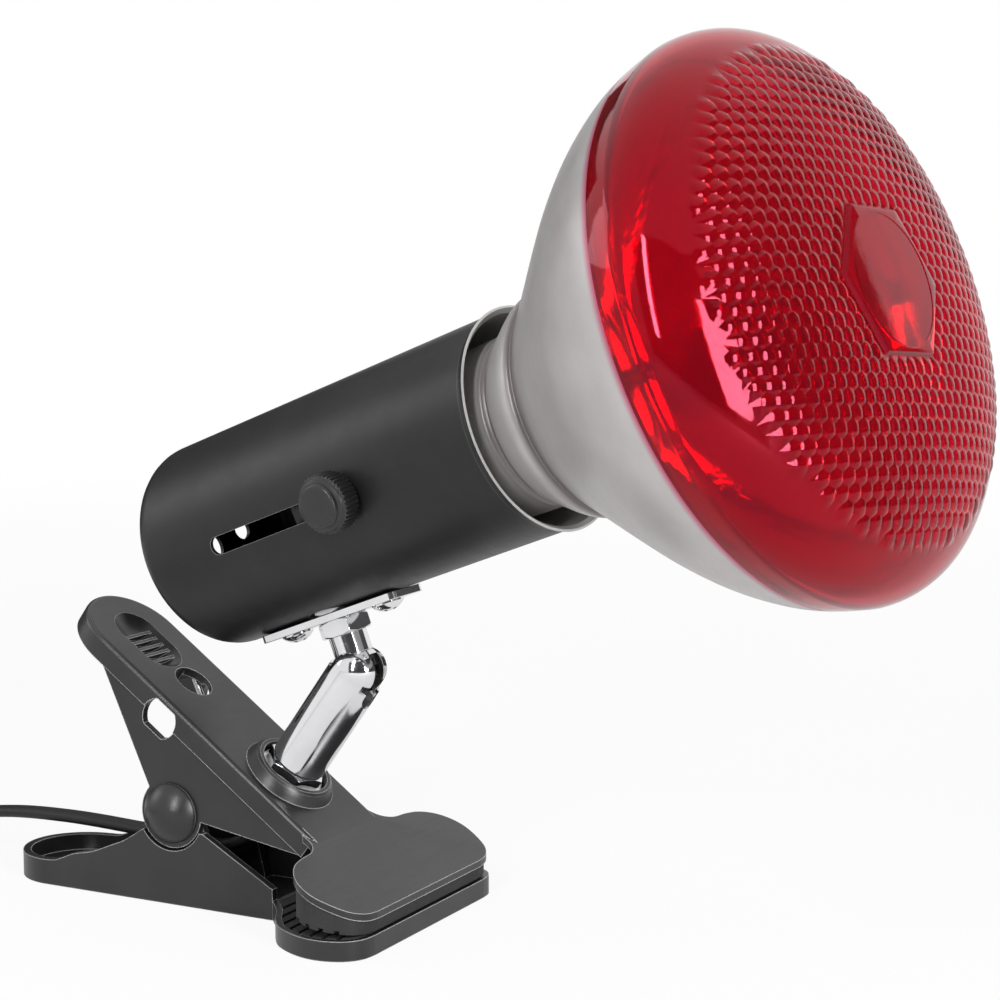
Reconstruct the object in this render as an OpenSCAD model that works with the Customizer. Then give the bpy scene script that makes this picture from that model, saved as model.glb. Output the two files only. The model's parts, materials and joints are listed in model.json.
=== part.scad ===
// Clamp-on heat lamp: red reflector bulb in an adjustable cylinder lampholder,
// on a slotted ball swivel that stands on a sprung two-jaw clamp.
// Origin: middle of the lower pad's gripping face, on the line across the clamp's arm.
// +X points to the jaw tips, +Y across the clamp, +Z away from the gripping face.

/* [Clamp] */
// Width of both jaws across their bodies
jaw_w = 28.3; // [26:0.1:34]
// Thickness of the jaws' side walls
jaw_wall = 2; // [1.6:0.1:2.4]
// Thickness of the upper jaw's top plate
top_plate = 2.2; // [1.8:0.1:2.6]
// Slope of the upper jaw with the pads together, in degrees
slope = 35.8; // [33:0.1:37]
// Distance from the hinge pin forward to the arm, along the slope
arm_s = 15; // [13:0.1:17]
// Height of the upper jaw's top face over the hinge pin
top_n = 22.3; // [21:0.1:25]
// Place of the hinge pin behind the origin
pivot_back = 46.2; // [44:0.1:50]
// Height of the hinge pin over the gripping face
pivot_z = 17.5; // [16.5:0.1:18.5]
// Length of the upper handle behind the arm
handle_s = 68; // [64:0.5:80]
// Depth of the band round the upper jaw
band_h = 5.5; // [5:0.1:7]
// Length of the lower handle behind the origin
tail_x = 98.6; // [94:0.2:110]
// Diameter of the hinge pin
pin_d = 5; // [3.5:0.1:6]
// Diameter of the domed caps on the hinge pin
cap_d = 14.8; // [12:0.1:16]

/* [Pads] */
// Place of the pads' front edge before the origin
front_x = 18; // [16:0.5:24]
// Thickness of the lower pad with its tray
pad_h = 5; // [4:0.1:7]
// Slope of the upper pad's plate, in degrees
pad_slope = 24.2; // [22:0.1:26]
// Thickness of the upper pad's plate
pad_plate = 1.6; // [1.2:0.1:2]
// Slope of the upper rubber pad's face with the pads together, in degrees
rubber_slope = 9; // [6:0.5:12]

/* [Spring] */
// Wire of the clamp's torsion spring
spring_wire = 1.6; // [1.2:0.1:2]
// Mean radius of the clamp spring's curls
spring_r = 5.2; // [4.8:0.1:5.6]
// Rise of the clamp spring in each turn
spring_pitch = 2.7; // [2.4:0.05:2.8]
// Wire of the swivel's pressure spring
seat_wire = 1; // [0.7:0.1:1.1]

/* [Arm] */
// Diameter of the arm's tube
tube_d = 13.6; // [13:0.1:16]
// Wall of the arm's tube
tube_wall = 0.8; // [0.6:0.1:1]
// Height of the ball's centre over the upper jaw
ball_n = 33.7; // [32:0.1:45]
// Diameter of the threaded stud under the tube
stud_d = 9.8; // [9:0.1:10]
// Diameter of the bright washer under the arm
washer_d = 16.4; // [15.5:0.1:17]
// Width of the slot for the stem
stem_slot_w = 9.7; // [9.6:0.1:10]
// Width of the narrow slot for the lead
lead_slot_w = 6; // [5:0.1:7]

/* [Head] */
// Diameter of the swivel's stem
stem_d = 9.3; // [8.6:0.1:9.4]
// Lean of the stem back from upright, in degrees
tilt = 20.5; // [18:0.1:22]
// Turn of the head about its stem, in degrees
turn = -8.95; // [-12:0.05:12]
// Height of the cylinder's underside above the ball's centre
cyl_low = 14.7; // [13:0.1:21]
// Distance from the stem back to the cylinder's closed end
back_x = 34.9; // [30:0.1:36]
// Outer diameter of the cylinder
cyl_d = 50; // [49.6:0.1:60]
// Length of the cylinder
cyl_len = 108; // [104:0.5:130]
// Wall of the cylinder
cyl_wall = 1; // [0.8:0.1:1.2]
// Width of the slot for the thumb screw
slot_w = 4.2; // [4:0.1:5]
// Diameter of the thumb screw's knob
knob_d = 13.6; // [12:0.1:16]

/* [Bulb] */
// Largest diameter of the bulb
bulb_d = 121; // [110:0.5:122]
// Length of the bulb from its contact to the lens
bulb_len = 135; // [133:0.5:150]
// Distance from the cylinder's mouth to the top of the lens
bulb_out = 90.1; // [89:0.1:92]
// Height of the lens dome
dome_h = 22.3; // [20:0.1:24]
// Thickness of the bulb's glass
glass = 2.4; // [2:0.1:3]

/* [Cord] */
// Width of the flat twin cord
cord_w = 5.2; // [5:0.1:5.4]
// Thickness of the flat twin cord
cord_h = 2.7; // [2.4:0.1:2.8]
// Diameter of the lead inside the lamp
lead_d = 3.4; // [2.8:0.1:3.6]
// Radius of the coil's outer turn
coil_r = 40; // [38:0.5:44]

/* [Hidden] */
$fn = 48;

// Clearances
running = 0.05;
near = 0.1;
free = 0.3;

// Colours
plastic = [0.13, 0.13, 0.14];
rubber = [0.07, 0.07, 0.07];
chrome = [0.82, 0.83, 0.85];
steel = [0.62, 0.63, 0.65];
brass = [0.78, 0.62, 0.3];

// Places worked out from the dimensions
pivot_x = -pivot_back;
half_w = jaw_w / 2;
skirt_in = 0.6;
skirt_y = half_w - skirt_in;
lug_y = skirt_y - jaw_wall - 0.25;
arm_x = pivot_x + arm_s * cos(slope) + top_n * sin(slope);
arm_z = pivot_z - arm_s * sin(slope) + top_n * cos(slope);
ball_x = arm_x + ball_n * sin(slope);
ball_z = arm_z + ball_n * cos(slope);
floor_z = -pad_h;
floor_t = 2.2;
floor_top = floor_z + floor_t;
end_r = half_w;
tube_r = tube_d / 2;
socket_r = tube_r - tube_wall;
ball_r = socket_r - near;
cyl_r = cyl_d / 2;
bore_r = cyl_r - cyl_wall;
axis_h = cyl_low + cyl_r;
mouth_x = cyl_len - back_x;

module in_jaw() {
    translate([pivot_x, 0, pivot_z]) rotate([0, slope, 0]) translate([arm_s, 0, top_n]) children();
}

module in_socket() {
    in_jaw() translate([0, 0, ball_n]) children();
}

module in_stem() {
    translate([ball_x, 0, ball_z]) rotate([0, -tilt, 0]) children();
}

module in_head() {
    in_stem() rotate([0, 0, turn]) children();
}

module in_cylinder() {
    in_head() translate([mouth_x, 0, axis_h]) children();
}

// Turns a shape made about +Z so that it lies about the lamp's axis
module about_axis() {
    in_cylinder() rotate([0, 90, 0]) children();
}

function unit(v) = v / norm(v);

function arc(c, r, from, to, steps = 8) =
    [for (i = [0:steps]) let (a = from + (to - from) * i / steps) c + r * [cos(a), sin(a)]];

// One span of a smooth curve through four points
function span(a, b, c, d, u) = 0.5 * (2 * b + (c - a) * u
    + (2 * a - 5 * b + 4 * c - d) * u * u + (3 * b - a - 3 * c + d) * u * u * u);

// Smooth curve through the points p
function smooth(p, steps) = let (n = len(p) - 1)
    [for (i = [0:n - 1], k = [0:steps - 1])
        span(p[max(i - 1, 0)], p[i], p[i + 1], p[min(i + 2, n)], k / steps), p[n]];

// Moves each point of a closed outline inwards by d
function inset(p, d) = let (n = len(p))
    [for (i = [0:n - 1]) let (w = unit(p[(i + 1) % n] - p[(i + n - 1) % n])) p[i] + d * [-w[1], w[0]]];

function mirrored(p) = [for (i = [len(p) - 1:-1:0]) [p[i][0], -p[i][1]]];

function to2(a, b, u) = a + (b - a) * u;

// Tube through the points p, of width w and thickness h, with ref across its width's normal
module tube(p, ref, w, h, sides = 8, phase = 0) {
    n = len(p);
    rings = [for (i = [0:n - 1])
        let (t = unit(p[min(i + 1, n - 1)] - p[max(i - 1, 0)]), s = unit(cross(t, ref)), u = cross(s, t))
        for (k = [0:sides - 1]) let (a = phase + 360 * k / sides)
            p[i] + s * w / 2 * cos(a) + u * h / 2 * sin(a)];
    walls = [for (i = [0:n - 2], k = [0:sides - 1])
        let (a = i * sides + k, b = i * sides + (k + 1) % sides)
        each [[a, b, b + sides], [a, b + sides, a + sides]]];
    ends = [[for (k = [sides - 1:-1:0]) k], [for (k = [0:sides - 1]) (n - 1) * sides + k]];
    polyhedron(points = rings, faces = concat(walls, ends), convexity = 10);
}

module round_tube(p, ref, d, sides = 8) {
    full = d / cos(180 / sides);
    tube(p, ref, full, full, sides, 180 / sides);
}

module flat_cord(p) {
    fit = 1 / cos(180 / 8);
    tube(p, [0, 0, 1], cord_w * fit, cord_h * fit, 8, 180 / 8);
}

module hexagon(flats, h) {
    cylinder(r = flats / 2 / cos(30), h = h, $fn = 6);
}

// Ring grooves from z0 up to z1, as outline points from the bottom up
function threads(r, depth, pitch, z0, z1) =
    [for (i = [0:floor((z1 - z0) / pitch) - 1])
        each [[r - depth, z0 + i * pitch], [r, z0 + (i + 0.5) * pitch]]];

// Lower jaw

jaw_top = [[-tail_x - 1, 1.5], [-92, 1.3], [-83, 1.4], [-79.7, 2.2], [-75.5, 3.9],
    [-70, 5.1], [-65, 7.1], [-60, 9.2], [-54.6, 12.6]];
wall_front = -17;
wall_tip = [wall_front, 2.5];
wall_peak = [-36.7, 13.4];
notch_r = 9.2;
lug_r = 6.8;
tray_lip = 0.3;
tray_wall = 1.6;
rubber_sunk = 2;
rib_x = [-58.5, -54];
cord_z = 8.2;
rib_top = cord_z - cord_h / 2;

lower_half = [[0, 25.5], [-0.7, 29.8], [-3.6, 33.4], [-9.2, 35.3], [-15.5, 34.4], [-22.5, 30.6],
    [-27, 25.3], [-30.5, max(19.5, half_w + 4)], [-35, half_w]];

function pad_outline(half) = let (side = smooth(half, 4))
    [for (p = concat(side, mirrored(side))) [front_x + p[0], p[1]]];

module handle_plan(cut) {
    r = end_r - cut;
    x = -tail_x + end_r;
    translate([x, 0]) circle(r);
    translate([x, -r]) square([wall_front - x, 2 * r]);
}

module lower_shell() {
    intersection() {
        translate([0, 0, floor_z]) linear_extrude(40) handle_plan(0);
        rotate([90, 0, 0]) translate([0, 0, -half_w]) linear_extrude(jaw_w) polygon(concat(
            smooth(jaw_top, 3), [[-50, 15], wall_peak, wall_tip,
                [wall_front, floor_z], [-tail_x - 1, floor_z]]));
    }
}

module hinge_lugs() {
    for (side = [-1, 1]) translate([0, side * (lug_y - jaw_wall / 2), 0]) rotate([90, 0, 0])
        translate([0, 0, -jaw_wall / 2]) {
            translate([pivot_x, pivot_z]) cylinder(r = lug_r, h = jaw_wall);
            linear_extrude(jaw_wall) polygon([[pivot_x - 12, floor_z + 1], [pivot_x - lug_r, pivot_z],
                [pivot_x + lug_r, pivot_z], [pivot_x + 12, floor_z + 1]]);
        }
}

module cord_rib() {
    translate([rib_x[0], -clamp_half, floor_z + 1])
        cube([rib_x[1] - rib_x[0], 2 * clamp_half, rib_top - floor_z - 1]);
}

module lower_jaw() color(plastic) difference() {
    union() {
        difference() {
            lower_shell();
            translate([0, 0, floor_top]) linear_extrude(40) handle_plan(jaw_wall);
            translate([pivot_x, 0, pivot_z]) rotate([90, 0, 0])
                cylinder(r = notch_r, h = jaw_w + 2, center = true);
        }
        hinge_lugs();
        cord_rib();
        translate([0, 0, floor_z]) linear_extrude(pad_h - tray_lip) polygon(pad_outline(lower_half));
    }
    translate([0, 0, floor_top]) linear_extrude(10) intersection() {
        polygon(inset(pad_outline(lower_half), tray_wall));
        translate([wall_front + 1, -50]) square([60, 100]);
    }
    translate([pivot_x, 0, pivot_z]) rotate([90, 0, 0])
        cylinder(d = pin_d, h = jaw_w, center = true);
    for (side = [-1, 1]) translate([(rib_x[0] + rib_x[1]) / 2, side * clamp_screw_y, rib_top - 6])
        cylinder(d = clamp_screw_d, h = 7);
}

groove_w = 1.1;
groove_deep = 0.7;
groove_step = 3.4;

module lower_pad() color(rubber) difference() {
    translate([0, 0, floor_top]) linear_extrude(-floor_top) intersection() {
        polygon(inset(pad_outline(lower_half), tray_wall + near));
        translate([wall_front + 1 + near, -50]) square([60, 100]);
    }
    for (x = [front_x - 6:-groove_step:wall_front + 4])
        translate([x, -60, -groove_deep]) cube([groove_w, 120, 2]);
}

module pivot_pin() color(steel) translate([pivot_x, 0, pivot_z]) rotate([90, 0, 0])
    cylinder(d = pin_d, h = 2 * (skirt_y + 0.9), center = true);

cap_rise = 3.7;
cap_y = skirt_y + near;
cap_ball = (cap_d * cap_d / 4 + cap_rise * cap_rise) / (2 * cap_rise);

module pivot_cap() {
    difference() {
        intersection() {
            cylinder(d = cap_d, h = cap_rise + 0.7);
            translate([0, 0, cap_rise + 0.7 - cap_ball]) sphere(cap_ball, $fn = 72);
        }
        translate([0, 0, -1]) cylinder(d = pin_d, h = 1.9);
    }
}

module pivot_cap_near() color(plastic)
    translate([pivot_x, -cap_y, pivot_z]) rotate([90, 0, 0]) pivot_cap();

module pivot_cap_far() color(plastic)
    translate([pivot_x, cap_y, pivot_z]) rotate([-90, 0, 0]) pivot_cap();

// Clamp spring: a leg on the lower handle, turns round the pin, a leg under the upper handle

leg_low = [-34 - 0.2, floor_top + spring_wire / 2 + near - pivot_z];
leg_up_s = -37.5;
leg_up_n = -top_plate - spring_wire / 2 - near;
leg_up = [(leg_up_s - (-arm_s)) * cos(slope) + (leg_up_n + top_n) * sin(slope),
    -(leg_up_s - (-arm_s)) * sin(slope) + (leg_up_n + top_n) * cos(slope)];
turns_from = atan2(leg_low[1], leg_low[0]) + 360 + acos(spring_r / norm(leg_low));
turns_to = atan2(leg_up[1], leg_up[0]) - acos(spring_r / norm(leg_up)) + 6 * 360;
curls = (turns_to - turns_from) / 360;
curl_rings = ceil(curls * 8);
spring_y = spring_pitch * curls / 2;

function leg(from, to, y, steps) =
    [for (i = [0:steps]) [to2(from[0], to[0], i / steps), y, to2(from[1], to[1], i / steps)]];

function on_curl(a) = spring_r * [cos(a), sin(a)];

spring_points = concat(
    leg(leg_low, to2(leg_low, on_curl(turns_from), 0.9), -spring_y, 2),
    [for (i = [0:curl_rings]) let (a = to2(turns_from, turns_to, i / curl_rings))
        [spring_r * cos(a), to2(-spring_y, spring_y, i / curl_rings), spring_r * sin(a)]],
    leg(to2(leg_up, on_curl(turns_to), 0.9), leg_up, spring_y, 2));

module clamp_spring() color(steel) translate([pivot_x, 0, pivot_z])
    round_tube(spring_points, [0, 1, 0], spring_wire, 6);

clamp_half = spring_y - spring_wire / 2 - free;
clamp_screw_y = (cord_w / 2 + clamp_half) / 2;
clamp_screw_d = 2;
clamp_t = 1.6;
clamp_z = rib_top + cord_h;

module cord_clamp() color(plastic) difference() {
    translate([rib_x[0], -clamp_half, rib_top]) cube([rib_x[1] - rib_x[0], 2 * clamp_half, cord_h + clamp_t]);
    translate([rib_x[0] - 1, -cord_w / 2, rib_top - 1]) cube([10, cord_w, cord_h + 1]);
    for (side = [-1, 1]) translate([(rib_x[0] + rib_x[1]) / 2, side * clamp_screw_y, rib_top - 1])
        cylinder(d = clamp_screw_d, h = 10);
}

module cord_clamp_screws() color(steel) for (side = [-1, 1])
    translate([(rib_x[0] + rib_x[1]) / 2, side * clamp_screw_y, 0]) difference() {
        union() {
            translate([0, 0, rib_top - 5]) cylinder(d = clamp_screw_d, h = 5 + cord_h + clamp_t);
            translate([0, 0, clamp_z + clamp_t]) cylinder(d = 3.4, h = 1.1);
        }
        cross_recess(clamp_z + clamp_t + 0.5, 2, 0.6);
    }

module cross_recess(z, length, width) {
    translate([-length / 2, -width / 2, z]) cube([length, width, 3]);
    translate([-width / 2, -length / 2, z]) cube([width, length, 3]);
}

stud_low = 9.5;
stud_end = [arm_x - stud_low * sin(slope), 0, arm_z - stud_low * cos(slope)];
lead_jaw_points = smooth([[rib_x[1], 0, cord_z], [-51, 0, 7.9], [-46, 0, 7.2], [-40, 0, 7.4], [-35, 0, 9.3],
    [-31.2, 0, 12.8], stud_end - 2.8 * [sin(slope), 0, cos(slope)],
        stud_end - 0.3 * [sin(slope), 0, cos(slope)]], 3);

module lead_jaw() color(plastic) round_tube(lead_jaw_points, [0, 1, 0], min(lead_d, cord_h), 8);

// Upper jaw

edge_r = 1.3;
band_end = 18.8;
bend_s = 20;
ring_base = 23.4;
ring_top = 20;
ring_h = 3;
ring_in = 17.2;
dish_s = -50.5;
dish_len = 20.5;
dish_w = 12.5;
dish_deep = 2.4;
dish_ball = (dish_w * dish_w / 4 + dish_deep * dish_deep) / (2 * dish_deep);
dish_rib_t = 0.9;
dish_rib_step = 2.3;
thumb_hole_s = -34.5;
thumb_hole_d = 10;
side_hole_s = -30.7;
side_hole_n = -5.5;
side_hole_d = 10;
side_hole_flats = 8;
boss_r = 8.6;
pad_bend_x = arm_x + bend_s * cos(slope);

upper_half = [[0, 24], [-0.7, 28.3], [-3.2, 32.1], [-8.5, 34.8], [-12.8, 35], [-16.8, 32.8],
    [-19.6, 28.5], [-20.7, 23.5], [-21.2, 18.6], [-23.2, 15.4], [-26.5, half_w]];

module in_pad_plate() {
    in_jaw() translate([bend_s, 0, 0]) rotate([0, pad_slope - slope, 0]) children();
}

// Half of the upper jaw's channel section, with a rounded top edge
channel_half = concat([[0, 0]], arc([half_w - edge_r, -edge_r], edge_r, 90, 0, 4),
    [[half_w, -band_h], [half_w - jaw_wall, -band_h], [half_w - jaw_wall, -top_plate], [0, -top_plate]]);

module channel() {
    s0 = -handle_s + end_r;
    translate([s0, 0, 0]) rotate([90, 0, 90]) linear_extrude(band_end - s0) {
        polygon(channel_half);
        mirror([1, 0]) polygon(channel_half);
    }
    translate([s0, 0, 0]) rotate([0, 0, 90]) rotate_extrude(angle = 180, $fn = 72) polygon(channel_half);
}

module skirt() {
    px = -arm_s;
    pn = -top_n;
    rotate([90, 0, 0]) translate([0, 0, -jaw_wall / 2]) {
        linear_extrude(jaw_wall) polygon([[-51.5, -top_plate - 1], [-51.5, -band_h],
            [px - boss_r, pn + 1], [px, pn], [px + 7.6, pn + 3.8], [band_end - 0.3, -5.6],
            [band_end - 0.3, -top_plate - 1]]);
        translate([px, pn, 0]) cylinder(r = boss_r, h = jaw_wall);
    }
}

module dish(r, deep) {
    h = dish_ball - dish_deep;
    run = dish_len / 2 - dish_w / 2;
    translate([dish_s, 0, h + deep]) {
        translate([-run, 0, 0]) rotate([0, 90, 0]) cylinder(r = r, h = 2 * run, $fn = 72);
        for (side = [-1, 1]) translate([side * run, 0, 0]) sphere(r, $fn = 72);
    }
}

module upper_jaw() color(plastic) union() {
    in_jaw() difference() {
        union() {
            channel();
            for (side = [-1, 1]) translate([0, side * (skirt_y - jaw_wall / 2), 0]) skirt();
            translate([dish_s - dish_len / 2 - 1.2, -dish_w / 2 - 1.6, -dish_deep - 2])
                cube([dish_len + 2.4, dish_w + 3.2, dish_deep + 1]);
            rotate_extrude() polygon([[ring_in / 2, -1], [ring_base / 2, -1], [ring_base / 2, 0],
                [ring_top / 2 + 0.3, ring_h - 0.6], [ring_top / 2 - 0.4, ring_h], [ring_in / 2, ring_h]]);
        }
        dish(dish_ball, 0);
        translate([0, 0, -5]) cylinder(d = stud_d + 2 * running, h = 6);
        translate([thumb_hole_s, 0.6, -5]) cylinder(d = thumb_hole_d, h = 6);
        intersection() {
            translate([side_hole_s, 0, side_hole_n]) rotate([90, 0, 0])
                cylinder(d = side_hole_d, h = jaw_w + 2, center = true);
            translate([side_hole_s, 0, side_hole_n])
                cube([2 * side_hole_d, jaw_w + 4, side_hole_flats], center = true);
        }
        translate([-arm_s, 0, -top_n]) rotate([90, 0, 0])
            cylinder(d = pin_d + 2 * running, h = jaw_w + 2, center = true);
    }
    in_jaw() intersection() {
        dish(dish_ball + 0.2, 0);
        for (i = [-2:2]) translate([dish_s + 1.6 + i * dish_rib_step - dish_rib_t / 2,
            -dish_w, -dish_deep - 0.1])
            cube([dish_rib_t, 2 * dish_w, dish_deep - 0.9]);
    }
    intersection() {
        linear_extrude(60) polygon(pad_outline(upper_half));
        in_pad_plate() translate([-12, -60, -pad_plate]) cube([60, 120, pad_plate]);
    }
    in_jaw() translate([band_end - 4, -half_w + 1, -top_plate])
        cube([bend_s - band_end + 4.2, jaw_w - 2, top_plate]);
}

rubber_in = 0.6;
pad_back = 1.6;

module upper_pad() color(rubber) difference() {
    intersection() {
        linear_extrude(40) polygon(inset(pad_outline(upper_half), rubber_in));
        translate([pad_bend_x + pad_back, -60, 0]) cube([60, 120, 40]);
    }
    in_pad_plate() translate([-60, -90, -pad_plate]) cube([140, 180, 60]);
    translate([front_x, 0, near]) rotate([0, rubber_slope, 0])
        translate([-90, -90, -40]) cube([120, 180, 40]);
    translate([front_x, 0, near]) rotate([0, rubber_slope, 0]) for (i = [1:5])
        translate([-3 - i * groove_step, -90, -1]) cube([groove_w, 180, 1 + groove_deep]);
}

washer_t = 1.2;
nut_flats = 13;
nut_h = 3;
stud_nut_h = 4;

module ring(outer, inner, h) {
    difference() {
        cylinder(d = outer, h = h);
        translate([0, 0, -1]) cylinder(d = inner, h = h + 2);
    }
}

module arm_washer() color(chrome) in_jaw() ring(washer_d, stud_d + 0.6, washer_t);

module stud_washer() color(steel) in_jaw()
    translate([0, 0, -top_plate - washer_t]) ring(washer_d, stud_d + 0.6, washer_t);

// Arm

nut_n = washer_t + running;
friction_n = nut_n + nut_h;
friction_t = 0.65;
tube_n = friction_n + friction_t;
tube_low = tube_n - ball_n;
stem_slot_low = -2.2;
lead_slot_low = -6.3;
stud_bore = 6.4;
collar_h = 5;

module arm_tube() color(chrome) in_socket() difference() {
    union() {
        translate([0, 0, tube_low]) cylinder(r = tube_r, h = -tube_low);
        sphere(tube_r, $fn = 72);
    }
    translate([0, 0, tube_low - 1]) cylinder(r = socket_r, h = 1 - tube_low);
    sphere(socket_r, $fn = 72);
    translate([-10, -stem_slot_w / 2, stem_slot_low]) cube([20, stem_slot_w, 20]);
    translate([0, -lead_slot_w / 2, lead_slot_low + lead_slot_w / 2]) cube([10, lead_slot_w, 20]);
    translate([0, 0, lead_slot_low + lead_slot_w / 2]) rotate([0, 90, 0]) cylinder(d = lead_slot_w, h = 10);
}

module arm_stud() color(steel) in_jaw() rotate_extrude() polygon(concat(
    [[stud_bore / 2, -stud_low], [stud_d / 2 - 0.7, -stud_low]],
    threads(stud_d / 2, 0.5, 1, -stud_low + 0.5, -top_plate - washer_t - 0.6),
    [[stud_d / 2, -top_plate - washer_t], [stud_d / 2, tube_n + 0.4], [socket_r, tube_n + 0.4],
    [socket_r, tube_n + 0.4 + collar_h], [stud_bore / 2, tube_n + 0.4 + collar_h]]));

module nut(flats, bore, h) {
    difference() {
        intersection() {
            hexagon(flats, h);
            rotate_extrude() polygon([[0, 0], [flats / 2 + 0.1, 0], [flats / 2 + 0.95, 0.6],
                [flats / 2 + 0.95, h - 0.6], [flats / 2 + 0.1, h], [0, h]]);
        }
        translate([0, 0, -1]) cylinder(d = bore, h = h + 2);
    }
}

module arm_nut() color(chrome) in_jaw() translate([0, 0, nut_n])
    rotate([0, 0, 12]) nut(nut_flats, stud_d, nut_h);

module friction_washer() color(rubber) in_jaw() translate([0, 0, friction_n])
    ring(tube_d - 1, stud_d, friction_t);

module stud_nut() color(steel) in_jaw()
    translate([0, 0, -top_plate - washer_t - running - stud_nut_h]) nut(14, stud_d, stud_nut_h);

seat_low = -9;
seat_top = -3.6;

module ball_seat() color(rubber) in_socket() difference() {
    translate([0, 0, seat_low]) cylinder(r = socket_r - near, h = seat_top - seat_low);
    sphere(ball_r + near, $fn = 72);
    translate([0, 0, seat_low - 1]) cylinder(d = lead_d + 2 * free, h = 10);
    translate([0, -lead_d / 2 - free, seat_low - 1]) cube([10, lead_d + 2 * free, 10]);
}

seat_curls = 6;
seat_r = socket_r - seat_wire / 2 - free;
seat_from = tube_n + 0.4 + collar_h + seat_wire / 2 + near;
seat_to = ball_n + seat_low - seat_wire / 2 - near;

module seat_spring() color(steel) in_jaw() round_tube(
    [for (i = [0:seat_curls * 8]) let (a = i * 45)
        [seat_r * cos(a), seat_r * sin(a), to2(seat_from, seat_to, i / (seat_curls * 8))]],
    [0, 0, 1], seat_wire, 6);

lead_arm_points = concat(smooth([[5.5, 0, -3.3], [5, 0, -4.8], [3.7, 0, -6.9],
    [2.5, 0, -9.2], [1.3, 0, -11.8],
    [0.3, 0, -14.6], [0, 0, -17.6]], 2), [[0, 0, -24], [0, 0, -34], [0, 0, -ball_n - stud_low]]);

module lead_arm() color(plastic) in_socket() round_tube(lead_arm_points, [0, 1, 0], lead_d, 8);

// Stem and ball

strip_t = 1.8;
strip_n = cyl_low - strip_t;
collar_top = strip_n - running;
stem_nut_h = 3.8;
stem_thread = 8;
stem_bore = 5.4;
lock_nut_h = 3.4;
stem_top = cyl_low + running + lock_nut_h + 1;

module swivel_ball() color(chrome) in_stem() difference() {
    sphere(ball_r, $fn = 72);
    translate([0, 0, 3.9]) cylinder(d = stem_d, h = 5);
    cylinder(d = stem_bore, h = 8);
    translate([-8, -lead_d / 2 - free, -8]) cube([16, lead_d + 2 * free, 8 + stem_bore / 2]);
}

module swivel_stem() color(chrome) in_stem() rotate_extrude() polygon([
    [stem_bore / 2, 3.9], [stem_d / 2, 3.9], [stem_d / 2, collar_top - stem_nut_h],
        [stem_thread / 2, collar_top - stem_nut_h],
    [stem_thread / 2, stem_top - 0.5], [stem_thread / 2 - 0.5, stem_top], [stem_bore / 2, stem_top]]);

module stem_nut() color(chrome) in_stem() translate([0, 0, collar_top - stem_nut_h]) rotate([0, 0, 10])
    nut(11.4, stem_thread, stem_nut_h);

module stem_lock_nut() color(steel) in_stem() translate([0, 0, cyl_low + running])
    nut(11.4, stem_thread, lock_nut_h);

module lead_stem() color(plastic) in_stem()
    round_tube([[0, 0, -2.4], [0, 0, 2], [0, 0, stem_top - 3], [0, 0, stem_top - 0.4]], [0, 1, 0], lead_d, 8);

// Cylinder with its bracket

lip_flare = 0.8;
lip_len = 2;
end_fillet = 6;
slot_drop = 6;
slot_from = -82.7;
slot_to = -37;
screw_t = -41;
vent_count = 6;
vent_d = 5;
vent_r = 12.8;
vent_first = 12;
end_hole_d = 8.4;
strip_len = 44;
strip_w = 12;
strip_screw_x = 15;
strip_screw_d = 4;
strip_screw_len = 7.2;
lock_hole_d = 15;

module in_slot() {
    in_cylinder() rotate([slot_drop, 0, 0]) children();
}

module lamp_cylinder() color(plastic) difference() {
    about_axis() rotate_extrude($fn = 96) polygon(concat(
        [[end_hole_d / 2, -cyl_len]],
        arc([cyl_r - end_fillet, -cyl_len + end_fillet], end_fillet, -90, 0, 8),
        [[cyl_r, -lip_len], [cyl_r + lip_flare * 0.35, -lip_len * 0.45], [cyl_r + lip_flare, 0],
        [cyl_r + lip_flare - 0.5, 0.25], [bore_r + lip_flare * 0.4, -lip_len * 0.4],
            [bore_r, -lip_len * 1.15]],
        arc([cyl_r - end_fillet, -cyl_len + end_fillet], end_fillet - cyl_wall, 0, -90, 8),
        [[end_hole_d / 2, -cyl_len + cyl_wall]]));
    in_slot() {
        translate([slot_from + slot_w / 2, 0, 0]) rotate([90, 0, 0]) cylinder(d = slot_w, h = cyl_r + 2);
        translate([slot_to - slot_w / 2, 0, 0]) rotate([90, 0, 0]) cylinder(d = slot_w, h = cyl_r + 2);
        translate([slot_from + slot_w / 2, -cyl_r - 2, -slot_w / 2])
            cube([slot_to - slot_from - slot_w, cyl_r + 2, slot_w]);
    }
    for (i = [0:vent_count - 1]) let (a = vent_first + i * 360 / vent_count)
        in_cylinder() translate([-cyl_len - 1, vent_r * cos(a), vent_r * sin(a)])
            rotate([0, 90, 0]) cylinder(d = vent_d, h = cyl_wall + 2);
    in_head() {
        translate([0, 0, cyl_low - 2]) cylinder(d = lock_hole_d, h = 8);
        for (side = [-1, 1]) translate([side * strip_screw_x, 0, cyl_low - 2])
            cylinder(d = strip_screw_d, h = 6);
    }
}

module bracket_strip() color(chrome) in_head() difference() {
    translate([0, 0, strip_n]) linear_extrude(strip_t) {
        square([strip_len - 4, strip_w], center = true);
        square([strip_len, strip_w - 4], center = true);
        for (x = [-1, 1], y = [-1, 1]) translate([x * (strip_len / 2 - 2), y * (strip_w / 2 - 2)]) circle(2);
    }
    translate([0, 0, strip_n - 1]) cylinder(d = stem_thread + 2 * running, h = strip_t + 2);
    for (side = [-1, 1]) translate([side * strip_screw_x, 0, strip_n - 1])
        cylinder(d = strip_screw_d, h = strip_t + 2);
}

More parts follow.
